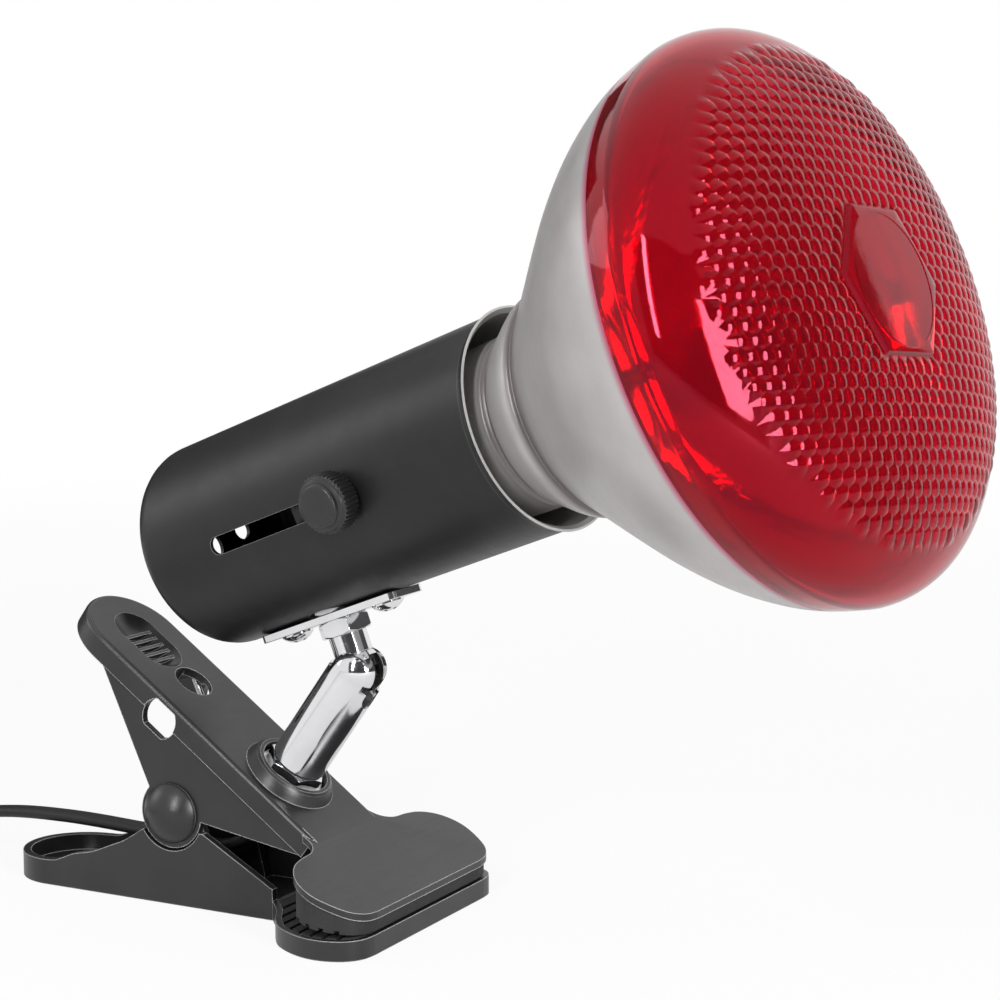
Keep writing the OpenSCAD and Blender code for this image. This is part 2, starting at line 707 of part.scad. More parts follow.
module bracket_screws() color(chrome) in_head() for (side = [-1, 1])
    translate([side * strip_screw_x, 0, strip_n]) difference() {
        union() {
            cylinder(d = strip_screw_d, h = strip_screw_len);
            intersection() {
                translate([0, 0, -2.1]) cylinder(d = 7.8, h = 2.1);
                translate([0, 0, 3.1]) sphere(5.2, $fn = 64);
            }
        }
        mirror([0, 0, 1]) cross_recess(1, 4, 0.9);
    }

module bracket_nuts() color(steel) in_head() for (side = [-1, 1])
    translate([side * strip_screw_x, 0, axis_h - sqrt(bore_r * bore_r - 16) + near]) nut(7, strip_screw_d, 3);

lead_turn = [[0, 0, stem_top + 0.3], [0, 0, stem_top + 2.5], [0.8, 0, stem_top + 6.5],
    [4, 0, stem_top + 10.5],
    [7.2, 0, axis_h - 1], [9.6, 0, axis_h - 0.2], [11.5, 0, axis_h]];

module lead_cylinder() color(plastic) in_head() round_tube(smooth(lead_turn, 2), [0, 1, 0], lead_d, 8);

// Lampholder, which slides along the cylinder with its thumb screw

contact_t = bulb_out - bulb_len;
shell_wave = 0.5;
shell_pitch = 3.62;
cap_r = 12.6;
shell_t = 0.4;
wave_from = contact_t + 5.2;
holder_r = 19;
holder_front = contact_t + 24;
holder_back = contact_t - 11;
holder_floor = contact_t - 2.4;
cavity_r = 14.9;
carrier_t = 1.2;
carrier_w = 12;
carrier_r = bore_r - 1;
holder_screw_z = 10.5;
terminal_y = 8;
terminal_z = 7.2;

// Rounded thread, as outline points from t0 to t1
function wave(r, t0, t1, step) = [for (t = [t0:step:t1])
    [r + shell_wave * cos(360 * (t - t0) / shell_pitch), t]];

module lampholder() color([0.93, 0.92, 0.88]) difference() {
    about_axis() rotate_extrude() polygon([[0, holder_back], [holder_r - 1, holder_back],
        [holder_r, holder_back + 1], [holder_r, holder_front - 9], [holder_r - 1.2, holder_front - 7.5],
        [holder_r - 1.2, holder_front - 1], [holder_r - 2.2, holder_front], [cavity_r, holder_front],
        [cavity_r, holder_floor], [0, holder_floor]]);
    in_slot() {
        for (side = [-1, 1]) translate([holder_back - 1, 0, side * holder_screw_z]) rotate([0, 90, 0])
            cylinder(d = 3, h = 6);
        for (side = [-1, 1]) translate([holder_back - 1, terminal_y, side * terminal_z]) rotate([0, 90, 0]) {
            cylinder(d = 6, h = 4);
            cylinder(d = 2.4, h = 8);
        }
        translate([holder_back - 1, terminal_y - 1.2, -terminal_z]) cube([3.2, 2.4, 2 * terminal_z]);
    }
}

module screw_shell() color(brass) about_axis() rotate_extrude() polygon(let (
    inside = wave(cap_r + 0.45, wave_from - shell_pitch, holder_front - 1.2, shell_pitch / 8),
    outside = [for (i = [len(inside) - 1:-1:0]) inside[i] + [shell_t, 0]])
    concat([[9, holder_floor + shell_t], [9, holder_floor],
        [cap_r + 0.45 + shell_wave + shell_t, holder_floor]],
        [for (i = [len(outside) - 1:-1:0]) outside[i]],
        [for (i = [len(inside) - 1:-1:0]) inside[i]],
        [[cap_r + 0.45 + shell_wave, holder_floor + shell_t]]));

module centre_contact() color(brass) in_slot() difference() {
    translate([holder_floor, -3, -5]) cube([0.5, 6, 12]);
    translate([holder_floor - 1, 0, 4]) rotate([0, 90, 0]) cylinder(d = 2.4, h = 3);
}

module terminal_screws() color(brass) in_slot() for (side = [-1, 1])
    translate([holder_back + 3, terminal_y, side * terminal_z]) rotate([0, -90, 0]) difference() {
        union() {
            translate([0, 0, -4]) cylinder(d = 2.4, h = 4);
            cylinder(d = 5, h = 1.6);
        }
        translate([-3, -0.4, 1]) cube([6, 0.8, 2]);
    }

module holder_bracket() color(steel) in_slot() difference() {
    union() {
        translate([holder_back - carrier_t, -carrier_r, -carrier_w / 2])
            cube([carrier_t, carrier_r + 4, carrier_w]);
        translate([holder_back - carrier_t, -4, -holder_screw_z - 3.5])
            cube([carrier_t, 8, 2 * holder_screw_z + 7]);
        intersection() {
            translate([holder_back - carrier_t, -carrier_r - 1, -carrier_w / 2])
                cube([screw_t + 7 - holder_back + carrier_t, 4, carrier_w]);
            rotate([0, 90, 0]) translate([0, 0, -80]) difference() {
                cylinder(r = carrier_r, h = 70);
                translate([0, 0, -1]) cylinder(r = carrier_r - carrier_t, h = 72);
            }
        }
        translate([screw_t, -carrier_r + carrier_t + 1.6, 0]) rotate([90, 0, 0]) cylinder(d = 7, h = 2);
    }
    translate([screw_t, 0, 0]) rotate([90, 0, 0]) cylinder(d = thumb_d + 2 * running, h = 30);
    for (side = [-1, 1]) translate([holder_back - 3, 0, side * holder_screw_z]) rotate([0, 90, 0])
        cylinder(d = 3, h = 6);
    translate([holder_back - 3, 0, 0]) rotate([0, 90, 0]) cylinder(d = 5, h = 6);
}

module holder_screws() color(steel) in_slot() for (side = [-1, 1])
    translate([holder_back - carrier_t, 0, side * holder_screw_z]) rotate([0, -90, 0]) difference() {
        union() {
            translate([0, 0, -5.6]) cylinder(d = 3, h = 5.6);
            cylinder(d = 5.6, h = 1.8);
        }
        cross_recess(1, 3.4, 0.8);
    }

wire_d = 1.8;

module holder_wires() color([0.75, 0.73, 0.68]) in_slot() for (side = [-1, 1])
    round_tube(smooth([[holder_back + 1.1, terminal_y, side * 3.6],
        [holder_back - 1.4, terminal_y - 0.1, side * 3.6],
        [holder_back - 3.3, terminal_y - 1.6, side * 3], [holder_back - 4.3, terminal_y - 4, side * 2.1],
        [holder_back - 4.5, 2, side * 1.3], [holder_back - 4.5, 0.6, side * 1.1]], 2), [0, 0, 1], wire_d, 8);

thumb_d = 3.9;
knob_from = cyl_r + 1.3;
knob_h = 6;
knob_teeth = 40;
shank_from = carrier_r - carrier_t - 2.4;

module on_screw() {
    in_slot() translate([screw_t, 0, 0]) rotate([90, 0, 0]) children();
}

module thumb_knob() color(plastic) on_screw() difference() {
    union() {
        translate([0, 0, knob_from - 1]) cylinder(d = 9, h = 1.2);
        intersection() {
            translate([0, 0, knob_from]) linear_extrude(knob_h) polygon([for (i = [0:2 * knob_teeth - 1])
                (knob_d / 2 - 0.45 * (i % 2)) * [cos(180 * i / knob_teeth), sin(180 * i / knob_teeth)]]);
            translate([0, 0, knob_from + knob_h - 17]) sphere(17, $fn = 96);
        }
        translate([0, 0, knob_from + knob_h - 1.6]) intersection() {
            cylinder(d = knob_d - 1.5, h = 2.2);
            translate([0, 0, 2.2 - 14]) sphere(14, $fn = 72);
        }
    }
    translate([0, 0, knob_from - 2]) cylinder(d = thumb_d, h = 4.4);
}

module thumb_shank() color(steel) on_screw() translate([0, 0, shank_from])
    cylinder(d = thumb_d, h = knob_from + 2.4 - shank_from);

// Bulb

cap_front = contact_t + 27;
seam_t = bulb_out - dome_h;
neck_t = 14.4;
neck_r = 26.1;
bulb_r = bulb_d / 2;

module bulb_cap() color([0.8, 0.8, 0.78]) about_axis() rotate_extrude() polygon(let (
    outside = wave(cap_r, wave_from, cap_front - 5, shell_pitch / 8))
    concat([[5.2, contact_t + 2.4], [11, contact_t + 3.4]], outside,
        [[cap_r + 0.2, cap_front - 4.4], [cap_r + 0.5, cap_front - 1], [cap_r + 1.4, cap_front],
            [cap_r + 1, cap_front]],
        [[cap_r - 1, cap_front - 1.5], [cap_r - 1.2, contact_t + 5.2], [10.4, contact_t + 3.8],
            [5.2, contact_t + 2.8]]));

module cap_insulator() color([0.1, 0.09, 0.12]) about_axis() rotate_extrude() polygon([[0, contact_t + 1.1],
    [3.4, contact_t + 1.1], [5.2, contact_t + 2.2], [5.2, contact_t + 4.4], [0, contact_t + 4.4]]);

module cap_contact() color(steel) about_axis() rotate_extrude() polygon(concat(
    arc([0, contact_t + 3.4], 3.4, -90, -45, 4), [[2.4, contact_t + 1.1], [0, contact_t + 1.1]]));

neck = [[cap_r + 1, cap_front], [17.4, -14.8], [19.3, -12.4], [19.7, -9],
    [19.8, -3], [20, -0.4], [19.4, 0.9], [20.6, 2.2], [21.8, 4.2], [23.1, 6.2], [24.4, 8.2], [25.4, 10],
    [26, 11.7], [25.5, 13.2]];

// Flare from the neck to the seam, as shares of its rise and of its length
flare = [[0, 0], [0.24, 0.18], [0.44, 0.33], [0.63, 0.48], [0.79, 0.63], [0.91, 0.78], [0.97, 0.9], [1, 1]];
flare_steps = 3;
flare_curve = [for (p = smooth(flare, flare_steps))
    [to2(neck_r, bulb_r, p[0]), to2(neck_t, seam_t, p[1])]];
red_from = 6 * flare_steps;
flare_all = len(flare_curve) - 1;

module bulb_reflector() color([0.78, 0.78, 0.78]) about_axis() rotate_extrude($fn = 96) polygon(let (
    outer = concat([[cap_r - 1, cap_front - 1.5]], smooth(neck, 2), [for (i = [0:red_from]) flare_curve[i]]),
    top = len(outer) - 1)
    concat(outer, [for (i = [top:-1:1]) outer[i] + [-glass, i == top ? 0 : 0.3]],
        [[cap_r - 1 - glass, cap_front - 1.5]]));

function dome_points(r, h, steps) = [for (i = [0:steps]) let (a = 90 * i / steps)
    [i == steps ? 0 : r * pow(cos(a), 2 / 2.79), seam_t + h * pow(sin(a), 2 / 2.22)]];

module bulb_lens() color([0.75, 0.05, 0.08]) about_axis() rotate_extrude($fn = 96) polygon(let (
    inner = dome_points(bulb_r - glass, dome_h - glass, 14))
    concat([for (i = [red_from:flare_all - 1]) flare_curve[i]], dome_points(bulb_r, dome_h, 16),
        [for (i = [len(inner) - 1:-1:0]) inner[i]],
        [flare_curve[red_from] - [glass, 0]]));

filament_t = 22;
coil_turns = 10;

module filament() color(steel) in_cylinder() translate([filament_t, 0, 0]) round_tube(
    [for (i = [0:coil_turns * 8]) let (a = i * 45)
        [1.1 * cos(a), to2(-5.7, 5.7, i / (coil_turns * 8)), 1.1 * sin(a)]],
    [0, 1, 0], 0.4, 6);

module filament_supports() color(steel) in_cylinder() {
    for (side = [-1, 1]) translate([contact_t + 6, side * 6.4, 0]) rotate([0, 90, 0])
        cylinder(d = 0.9, h = filament_t - contact_t - 4);
    translate([contact_t + 6, 0, 0]) rotate([0, 90, 0]) cylinder(d = 7, h = 16);
    translate([contact_t + 14, -6.9, -0.6]) cube([2, 13.8, 1.2]);
}

// Cord with its switch and plug

lie_z = floor_z + cord_h / 2;
switch_x = [-250, -194];
switch_w = 20;
switch_h = 15;
seam_h = 6;
switch_mid = floor_z + seam_h;
coil_centre = [-234, -58];
coil_step = cord_w + 0.5;
layer_step = cord_h + 0.8;
coil_in = 3.5;
coil_all = 7.375;
plug_x = [-182, -148];

cord_run_points = [[rib_x[0], 0, cord_z], [-62, 0, cord_z], [-66, 0, 8.3], [-72, 0, 8.5], [-78, 0, 8.7],
    [-85, 0, 8.8], [-92, 0, 8.7], [-98, 0, 8.5], [-104, 0, 8.1], [-110, 0.1, 7.4], [-115, 0.3, 6.6],
    [-120, 0.6, 5.6], [-125, 1.1, 4.3], [-130, 1.7, 2.9], [-135, 2.3, 1.4], [-140, 3, 0], [-145, 3.6, -1.3],
    [-150, 4.1, -2.3], [-155, 4.4, -3], [-160, 4.5, -3.4], [-166, 4.2, -3.6], [-172, 3.4, -3.5],
    [-177, 2.4, -3], [-181, 1.5, -2.2], [-185, 0.7, -1], [-188, 0.2, 0],
        [-191, 0, 0.8], [switch_x[1], 0, switch_mid]];

// Angle, radius and height along the coil, which spirals in, climbs and spirals out
coil_rings = coil_all * 24;
climb_from = coil_in * 24;
climb_mid = climb_from + 6;

function coil_radius(i) = coil_r - coil_step / 24 * (i < climb_mid ? i : 2 * climb_mid - i);

function coil_z(i) = let (u = max(0, min(1, (i - climb_from) / 12))) lie_z + layer_step * u * u * (3 - 2 * u);

function coil_point(i) = let (a = 180 + i * 15)
    [coil_centre[0] + coil_radius(i) * cos(a), coil_centre[1] + coil_radius(i) * sin(a), coil_z(i)];

coil_rows = [for (i = [0:coil_rings]) coil_point(i)];
coil_exit = [cos(45), sin(45), 0];
coil_end = coil_rows[coil_rings] + cord_w * coil_exit;
coil_points = concat([coil_rows[0] + [0, cord_w, 0]], coil_rows, [coil_end]);

// Gap between two ovals whose centres lie across and up from each other
function oval_gap(across, up) = let (d = norm([across, up])) d - norm([cord_w * across, cord_h * up]) / d;

coil_gap = min([for (i = [0:coil_rings], j = [i + 20:coil_rings])
    oval_gap(norm([coil_rows[i][0] - coil_rows[j][0], coil_rows[i][1] - coil_rows[j][1]]),
        coil_z(i) - coil_z(j))]);
echo(coil_gap = coil_gap);

cord_link_points = [[switch_x[0], 0, switch_mid], [-253, 0, 0.9], [-257, -0.5, 0.2], [-261, -2, -0.9],
    [-264.6, -4.3, -2], [-267.8, -7.3, -2.9], [-270.4, -11, -3.4], [-272.4, -15.2, -3.6],
    [-273.6, -20, lie_z], [-274, -26, lie_z], [-274, -36, lie_z], [-274, -46, lie_z], coil_points[0]];

cord_tail_points = [coil_end, coil_end + 2.5 * coil_exit, [-196, -77.4, 0.6], [-192, -76.1, 1.2],
    [-187.5, -75.8, 1.7], [-185, -75.8, 1.8], [plug_x[0], -75.8, 1.8]];

module cord_run() color(plastic) flat_cord(cord_run_points);

module cord_link() color(plastic) flat_cord(cord_link_points);

module cord_coil() color(plastic) tube(coil_points, [0, 0, 1], cord_w, cord_h / cos(30), 6);

module cord_tail() color(plastic) flat_cord(cord_tail_points);

switch_t = 1.6;
rocker_len = 18;
rocker_w = 9;
seam_z = floor_z + seam_h;
lid_h = switch_h - seam_h;
lid_edge = 1.2;
head_deep = 2.4;

module switch_plan(cut) {
    x0 = switch_x[0] + cut;
    x1 = switch_x[1] - cut;
    w = switch_w / 2 - cut;
    polygon([[x0, -4], [x0 + 7, -w], [x1 - 7, -w], [x1, -4], [x1, 4], [x1 - 7, w], [x0 + 7, w], [x0, 4]]);
}

module cord_gap() {
    translate([switch_x[0] - 1, -cord_w / 2 - near, switch_mid - cord_h / 2 - near])
        cube([8, cord_w + 2 * near, cord_h + 2 * near]);
    translate([switch_x[1] - 7, -cord_w / 2 - near, switch_mid - cord_h / 2 - near])
        cube([8, cord_w + 2 * near, cord_h + 2 * near]);
}

switch_screw_x = [switch_x[0] + 10, switch_x[1] - 10];
rocker_x = (switch_x[0] + switch_x[1]) / 2;
rocker_z = floor_z + switch_h - 3.4;
rocker_throw = 8;

module switch_base() color(plastic) difference() {
    translate([0, 0, floor_z]) linear_extrude(seam_z - floor_z) switch_plan(0);
    difference() {
        translate([0, 0, floor_z + switch_t]) linear_extrude(20) switch_plan(switch_t);
        for (x = switch_screw_x) translate([x, 0, floor_z]) translate([0, 6, 0]) cylinder(d = 5, h = 20);
    }
    for (x = switch_screw_x) translate([x, 6, floor_z + 2.6]) cylinder(d = 2.2, h = 20);
    cord_gap();
}

module switch_cover() color(plastic) difference() {
    translate([0, 0, seam_z]) {
        linear_extrude(lid_h - lid_edge) switch_plan(0);
        translate([0, 0, lid_h - lid_edge]) linear_extrude(lid_edge) switch_plan(lid_edge * 0.8);
    }
    difference() {
        translate([0, 0, seam_z - 1]) linear_extrude(lid_h - switch_t + 1) switch_plan(switch_t);
        for (x = switch_screw_x) translate([x, 6, seam_z - 1]) cylinder(d = 5.6, h = 20);
    }
    for (x = switch_screw_x) translate([x, 6, seam_z - 1]) {
        cylinder(d = 2.4, h = 20);
        translate([0, 0, lid_h + 1 - head_deep]) cylinder(d = 4.4, h = 20);
    }
    translate([rocker_x - rocker_len / 2 - free, -rocker_w / 2 - free, seam_z + 1])
        cube([rocker_len + 2 * free, rocker_w + 2 * free, 20]);
    cord_gap();
}

module switch_screws() color(steel) for (x = switch_screw_x) translate([x, 6, 0]) difference() {
    union() {
        translate([0, 0, floor_z + 3]) cylinder(d = 2.2, h = switch_h - head_deep - 3);
        translate([0, 0, floor_z + switch_h - head_deep]) cylinder(d = 4.2, h = 1.3);
    }
    cross_recess(floor_z + switch_h - head_deep + 0.7, 2.6, 0.6);
}

// Rocker, pressed down at its +X end at rest
module switch_rocker() color([0.6, 0.05, 0.05]) translate([rocker_x, 0, rocker_z])
    rotate([0, rocker_throw, 0])
    rotate([90, 0, 0]) translate([0, 0, -rocker_w / 2]) linear_extrude(rocker_w)
        polygon(concat([[-rocker_len / 2 + 1, -1.5], [rocker_len / 2 - 1, -1.5], [rocker_len / 2 - 0.4, 3.6]],
            arc([0, 15.4], 13.6, -51, -129, 8), [[-rocker_len / 2 + 0.4, 3.6]]));

plug_w = 35;
plug_h = 13.6;
plug_y = -75.8;
plug_z = floor_z + plug_h / 2;
pin_gap = 19;
plug_pin_d = 4;
plug_pin_len = 19;
plug_root_d = 3;
pin_taper = 1.5;

module plug_body() color(plastic) difference() {
    translate([0, plug_y, plug_z]) rotate([90, 0, 90]) {
        hull() {
            translate([0, 0, plug_x[0] + 14]) linear_extrude(plug_x[1] - plug_x[0] - 14) {
                translate([-plug_w / 2 + 4, -plug_h / 2]) square([plug_w - 8, plug_h]);
                translate([-plug_w / 2, -plug_h / 2 + 4]) square([plug_w, plug_h - 8]);
            }
            translate([0, 0, plug_x[0] + 6]) linear_extrude(1) square([12, 9], center = true);
        }
        hull() {
            translate([0, 0, plug_x[0] + 8]) linear_extrude(1) square([10, 8], center = true);
            translate([0, 0, plug_x[0]]) linear_extrude(1)
                square([cord_w + 1.6, cord_h + 1.6], center = true);
        }
    }
    for (side = [-1, 1]) translate([plug_x[1] - 8, plug_y + side * pin_gap / 2, plug_z])
        rotate([0, 90, 0]) cylinder(d = plug_root_d, h = 9);
}

module plug_pins() color(brass) for (side = [-1, 1])
    translate([plug_x[1] - 8, plug_y + side * pin_gap / 2, plug_z]) rotate([0, 90, 0]) union() {
        cylinder(d = plug_root_d, h = 8);
        translate([0, 0, 8]) cylinder(d = plug_pin_d, h = plug_pin_len - pin_taper);
        translate([0, 0, 8 + plug_pin_len - pin_taper])
            cylinder(d1 = plug_pin_d, d2 = plug_pin_d - 2, h = pin_taper);
    }

lower_jaw();
lower_pad();
pivot_pin();
pivot_cap_near();
pivot_cap_far();
clamp_spring();
cord_clamp();
cord_clamp_screws();
lead_jaw();
upper_jaw();
upper_pad();
arm_washer();
stud_washer();
arm_tube();
arm_stud();
arm_nut();
friction_washer();
stud_nut();
ball_seat();
seat_spring();
lead_arm();
swivel_ball();
swivel_stem();
stem_nut();
stem_lock_nut();
lead_stem();
lamp_cylinder();
bracket_strip();
bracket_screws();
bracket_nuts();
lead_cylinder();
lampholder();
screw_shell();
centre_contact();
terminal_screws();
holder_bracket();
holder_screws();
holder_wires();
thumb_knob();
thumb_shank();
bulb_cap();
cap_insulator();
cap_contact();
bulb_reflector();
bulb_lens();
filament();
filament_supports();
cord_run();
switch_base();
switch_cover();
switch_screws();
switch_rocker();
cord_link();
cord_coil();
cord_tail();
plug_body();
plug_pins();
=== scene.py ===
import json
import math
import bpy
from mathutils import Matrix, Vector


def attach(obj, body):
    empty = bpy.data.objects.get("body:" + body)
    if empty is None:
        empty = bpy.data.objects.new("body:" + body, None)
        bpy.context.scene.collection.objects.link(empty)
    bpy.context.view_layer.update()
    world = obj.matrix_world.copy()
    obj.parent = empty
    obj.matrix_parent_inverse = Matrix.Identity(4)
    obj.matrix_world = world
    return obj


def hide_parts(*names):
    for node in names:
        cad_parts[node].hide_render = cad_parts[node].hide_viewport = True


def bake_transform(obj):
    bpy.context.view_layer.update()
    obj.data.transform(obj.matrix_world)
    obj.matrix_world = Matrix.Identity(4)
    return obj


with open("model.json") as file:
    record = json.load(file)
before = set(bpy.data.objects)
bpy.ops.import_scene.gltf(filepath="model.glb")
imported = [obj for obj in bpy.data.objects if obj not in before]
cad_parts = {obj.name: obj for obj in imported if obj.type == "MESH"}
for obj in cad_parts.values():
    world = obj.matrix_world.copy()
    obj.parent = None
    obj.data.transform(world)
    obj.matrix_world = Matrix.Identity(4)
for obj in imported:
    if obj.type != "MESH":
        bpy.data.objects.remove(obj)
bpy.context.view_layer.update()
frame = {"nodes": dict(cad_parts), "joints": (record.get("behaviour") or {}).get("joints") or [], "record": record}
nodes = frame["nodes"]
MM = 0.001


# Places: the frames that the lamp's parts were drawn in

def joint(name):
    return next(j for j in frame["joints"] if j["name"] == name)


def place_of(name):
    return Vector(joint(name)["pos_m"])


def axis_of(name):
    return Vector(joint(name)["axis"]).normalized()


def axes_at(origin, x, y, z):
    """The matrix that puts a piece drawn about its own axes in its place."""
    place = Matrix((x, y, z)).transposed().to_4x4()
    place.translation = origin
    return place


ACROSS = Vector((0, 1, 0))
arm_axis, stem_axis = axis_of("arm_swivel"), -axis_of("head_turn")
lamp_axis, knob_axis = axis_of("bulb_turn"), axis_of("thumb_turn")
mouth = place_of("bulb_turn")
arm_place = axes_at(place_of("arm_swivel"), ACROSS.cross(arm_axis), ACROSS, arm_axis)
socket_place = axes_at(place_of("head_tilt"), ACROSS.cross(arm_axis), ACROSS, arm_axis)
stem_place = axes_at(place_of("head_tilt"), ACROSS.cross(stem_axis), ACROSS, stem_axis)
head_place = axes_at(place_of("head_turn"), lamp_axis, stem_axis.cross(lamp_axis), stem_axis)
lamp_place = axes_at(mouth, lamp_axis, stem_axis.cross(lamp_axis), stem_axis)
slot_place = axes_at(mouth, lamp_axis, -knob_axis, lamp_axis.cross(-knob_axis))
knob_place = axes_at(place_of("thumb_turn"), knob_axis, lamp_axis, knob_axis.cross(lamp_axis))

BODY_OF = {node: body for body, names in frame["record"]["behaviour"]["bodies"].items() for node in names}
SLOT_OF = {part["node"]: part["material_slot"] for part in frame["record"]["subparts"]}


# Modelling by hand

def start(name):
    """Takes the new primitive as the piece being worked on."""
    piece = bpy.context.object
    piece.name = piece.data.name = name
    bpy.context.tool_settings.mesh_select_mode = (True, False, False)
    return piece


def only(piece):
    bpy.ops.object.select_all(action="DESELECT")
    bpy.context.view_layer.objects.active = piece
    piece.select_set(True)


def enter_edit(piece):
    only(piece)
    bpy.ops.object.mode_set(mode="EDIT")


def leave_edit():
    bpy.ops.object.mode_set(mode="OBJECT")


def drop_selection(piece):
    """Leaves nothing in the mesh selected."""
    enter_edit(piece)
    bpy.ops.mesh.select_all(action="DESELECT")
    leave_edit()


def close_up(piece, within=MM / 500, triangles=False):
    """Merges the points that lie together and turns every face outwards."""
    enter_edit(piece)
    bpy.ops.mesh.select_all(action="SELECT")
    bpy.ops.mesh.remove_doubles(threshold=within)
    if triangles:
        bpy.ops.mesh.quads_convert_to_tris()
    bpy.ops.mesh.normals_make_consistent(inside=False)
    leave_edit()


def join(into, *others):
    """Makes the others part of a piece."""
    only(into)
    for piece in others:
        piece.select_set(True)
    bpy.ops.object.join()
    return into


def settle(piece, place=None):
    """Applies the piece's place to its mesh."""
    only(piece)
    if place is not None:
        piece.matrix_world = place @ piece.matrix_world
    bpy.ops.object.transform_apply(location=True, rotation=True, scale=True)
    return piece


def smooth(piece, degrees):
    only(piece)
    bpy.ops.object.shade_smooth_by_angle(angle=math.radians(degrees))
    return piece


def apply_all(piece):
    only(piece)
    for modifier in list(piece.modifiers):
        bpy.ops.object.modifier_apply(modifier=modifier.name)
    return piece


def lathe(name, outline, steps, place=lamp_place):
    """Turns an outline of (along, out) points in mm about the place's X axis."""
    bpy.ops.mesh.primitive_plane_add(size=MM)
    piece = start(name)
    enter_edit(piece)
    bpy.ops.mesh.merge(type="CENTER")
    bpy.ops.transform.translate(value=(outline[0][0] * MM, 0, outline[0][1] * MM))
    for (t, r), (t_next, r_next) in zip(outline, outline[1:]):
        bpy.ops.mesh.extrude_vertices_move(
            TRANSFORM_OT_translate={"value": ((t_next - t) * MM, 0, (r_next - r) * MM)})
    bpy.ops.mesh.select_all(action="SELECT")
    bpy.ops.mesh.spin(steps=steps, angle=math.tau, center=(0, 0, 0), axis=(1, 0, 0))
    leave_edit()
    close_up(piece)
    return settle(piece, place)


# Finishes

def new_group(name, inputs, outputs):
    group = bpy.data.node_groups.new(name, "ShaderNodeTree")
    for label, kind, value in inputs:
        socket = group.interface.new_socket(label, in_out="INPUT", socket_type=kind)
        socket.default_value = value
    for label, kind in outputs:
        group.interface.new_socket(label, in_out="OUTPUT", socket_type=kind)
    return group, group.nodes.new("NodeGroupInput"), group.nodes.new("NodeGroupOutput")


def add(tree, kind, **values):
    """A node with its settings and socket values."""
    node = tree.nodes.new(kind)
    for key, value in values.items():
        if hasattr(node, key):
            setattr(node, key, value)
        else:
            node.inputs[key.replace("_", " ")].default_value = value
    return node


def math_node(tree, operation, a, b, clamp=False):
    """The result of a sum on two values, each a socket or a number."""
    node = tree.nodes.new("ShaderNodeMath")
    node.operation = operation
    node.use_clamp = clamp
    for socket, value in zip(node.inputs, (a, b)):
        if isinstance(value, (int, float)):
            socket.default_value = value
        else:
            tree.links.new(value, socket)
    return node.outputs[0]


def mix_colours(tree, share, first, second):
    """A mix of two colours, each a socket or a plain colour."""
    mix = tree.nodes.new("ShaderNodeMix")
    mix.data_type = "RGBA"
    tree.links.new(share, mix.inputs[0])
    for socket, colour in ((mix.inputs[6], first), (mix.inputs[7], second)):
        if isinstance(colour, tuple):
            socket.default_value = (*colour, 1)
        else:
            tree.links.new(colour, socket)
    return mix.outputs[2]


def vector_node(tree, operation, a, b, output):
    node = tree.nodes.new("ShaderNodeVectorMath")
    node.operation = operation
    for socket, value in zip(node.inputs, (a, b)):
        tree.links.new(value, socket)
    return node.outputs[output]


def build_grain():
    """Fine moulded or cast grain: noise over small pits."""
    group, ins, outs = new_group("moulded grain", [
        ("Scale", "NodeSocketFloat", 1500.0), ("Pits", "NodeSocketFloat", 0.4)], [("Height", "NodeSocketFloat")])
    at = group.nodes.new("ShaderNodeTexCoord").outputs["Object"]
    fine = add(group, "ShaderNodeTexNoise", Detail=3.0, Roughness=0.6)
    pits = group.nodes.new("ShaderNodeTexVoronoi")
    group.links.new(at, fine.inputs["Vector"])
    group.links.new(at, pits.inputs["Vector"])
    group.links.new(ins.outputs["Scale"], fine.inputs["Scale"])
    group.links.new(math_node(group, "MULTIPLY", ins.outputs["Scale"], 0.6), pits.inputs["Scale"])
    deep = math_node(group, "MULTIPLY", pits.outputs["Distance"], ins.outputs["Pits"])
    group.links.new(math_node(group, "ADD", fine.outputs["Fac"], deep), outs.inputs["Height"])
    return group


def build_marks():
    """Handling marks: broad smudges and fine stretched rubs between two values."""
    group, ins, outs = new_group("handling marks", [
        ("Scale", "NodeSocketFloat", 40.0), ("Low", "NodeSocketFloat", 0.3),
        ("High", "NodeSocketFloat", 0.5)], [("Value", "NodeSocketFloat")])
    at = group.nodes.new("ShaderNodeTexCoord").outputs["Object"]
    broad = add(group, "ShaderNodeTexNoise", Detail=4.0, Roughness=0.65)
    group.links.new(at, broad.inputs["Vector"])
    group.links.new(ins.outputs["Scale"], broad.inputs["Scale"])
    stretch = group.nodes.new("ShaderNodeMapping")
    stretch.inputs["Scale"].default_value = (9.0, 1.0, 3.0)
    group.links.new(at, stretch.inputs["Vector"])
    rubs = add(group, "ShaderNodeTexNoise", Detail=5.0, Roughness=0.7)
    group.links.new(stretch.outputs["Vector"], rubs.inputs["Vector"])
    group.links.new(math_node(group, "MULTIPLY", ins.outputs["Scale"], 2.5), rubs.inputs["Scale"])
    both = math_node(group, "MULTIPLY", math_node(group, "ADD", broad.outputs["Fac"], rubs.outputs["Fac"]), 0.5)
    mapped = add(group, "ShaderNodeMapRange", From_Min=0.32, From_Max=0.68)
    group.links.new(both, mapped.inputs["Value"])
    group.links.new(ins.outputs["Low"], mapped.inputs["To Min"])
    group.links.new(ins.outputs["High"], mapped.inputs["To Max"])
    group.links.new(mapped.outputs["Result"], outs.inputs["Value"])
    return group


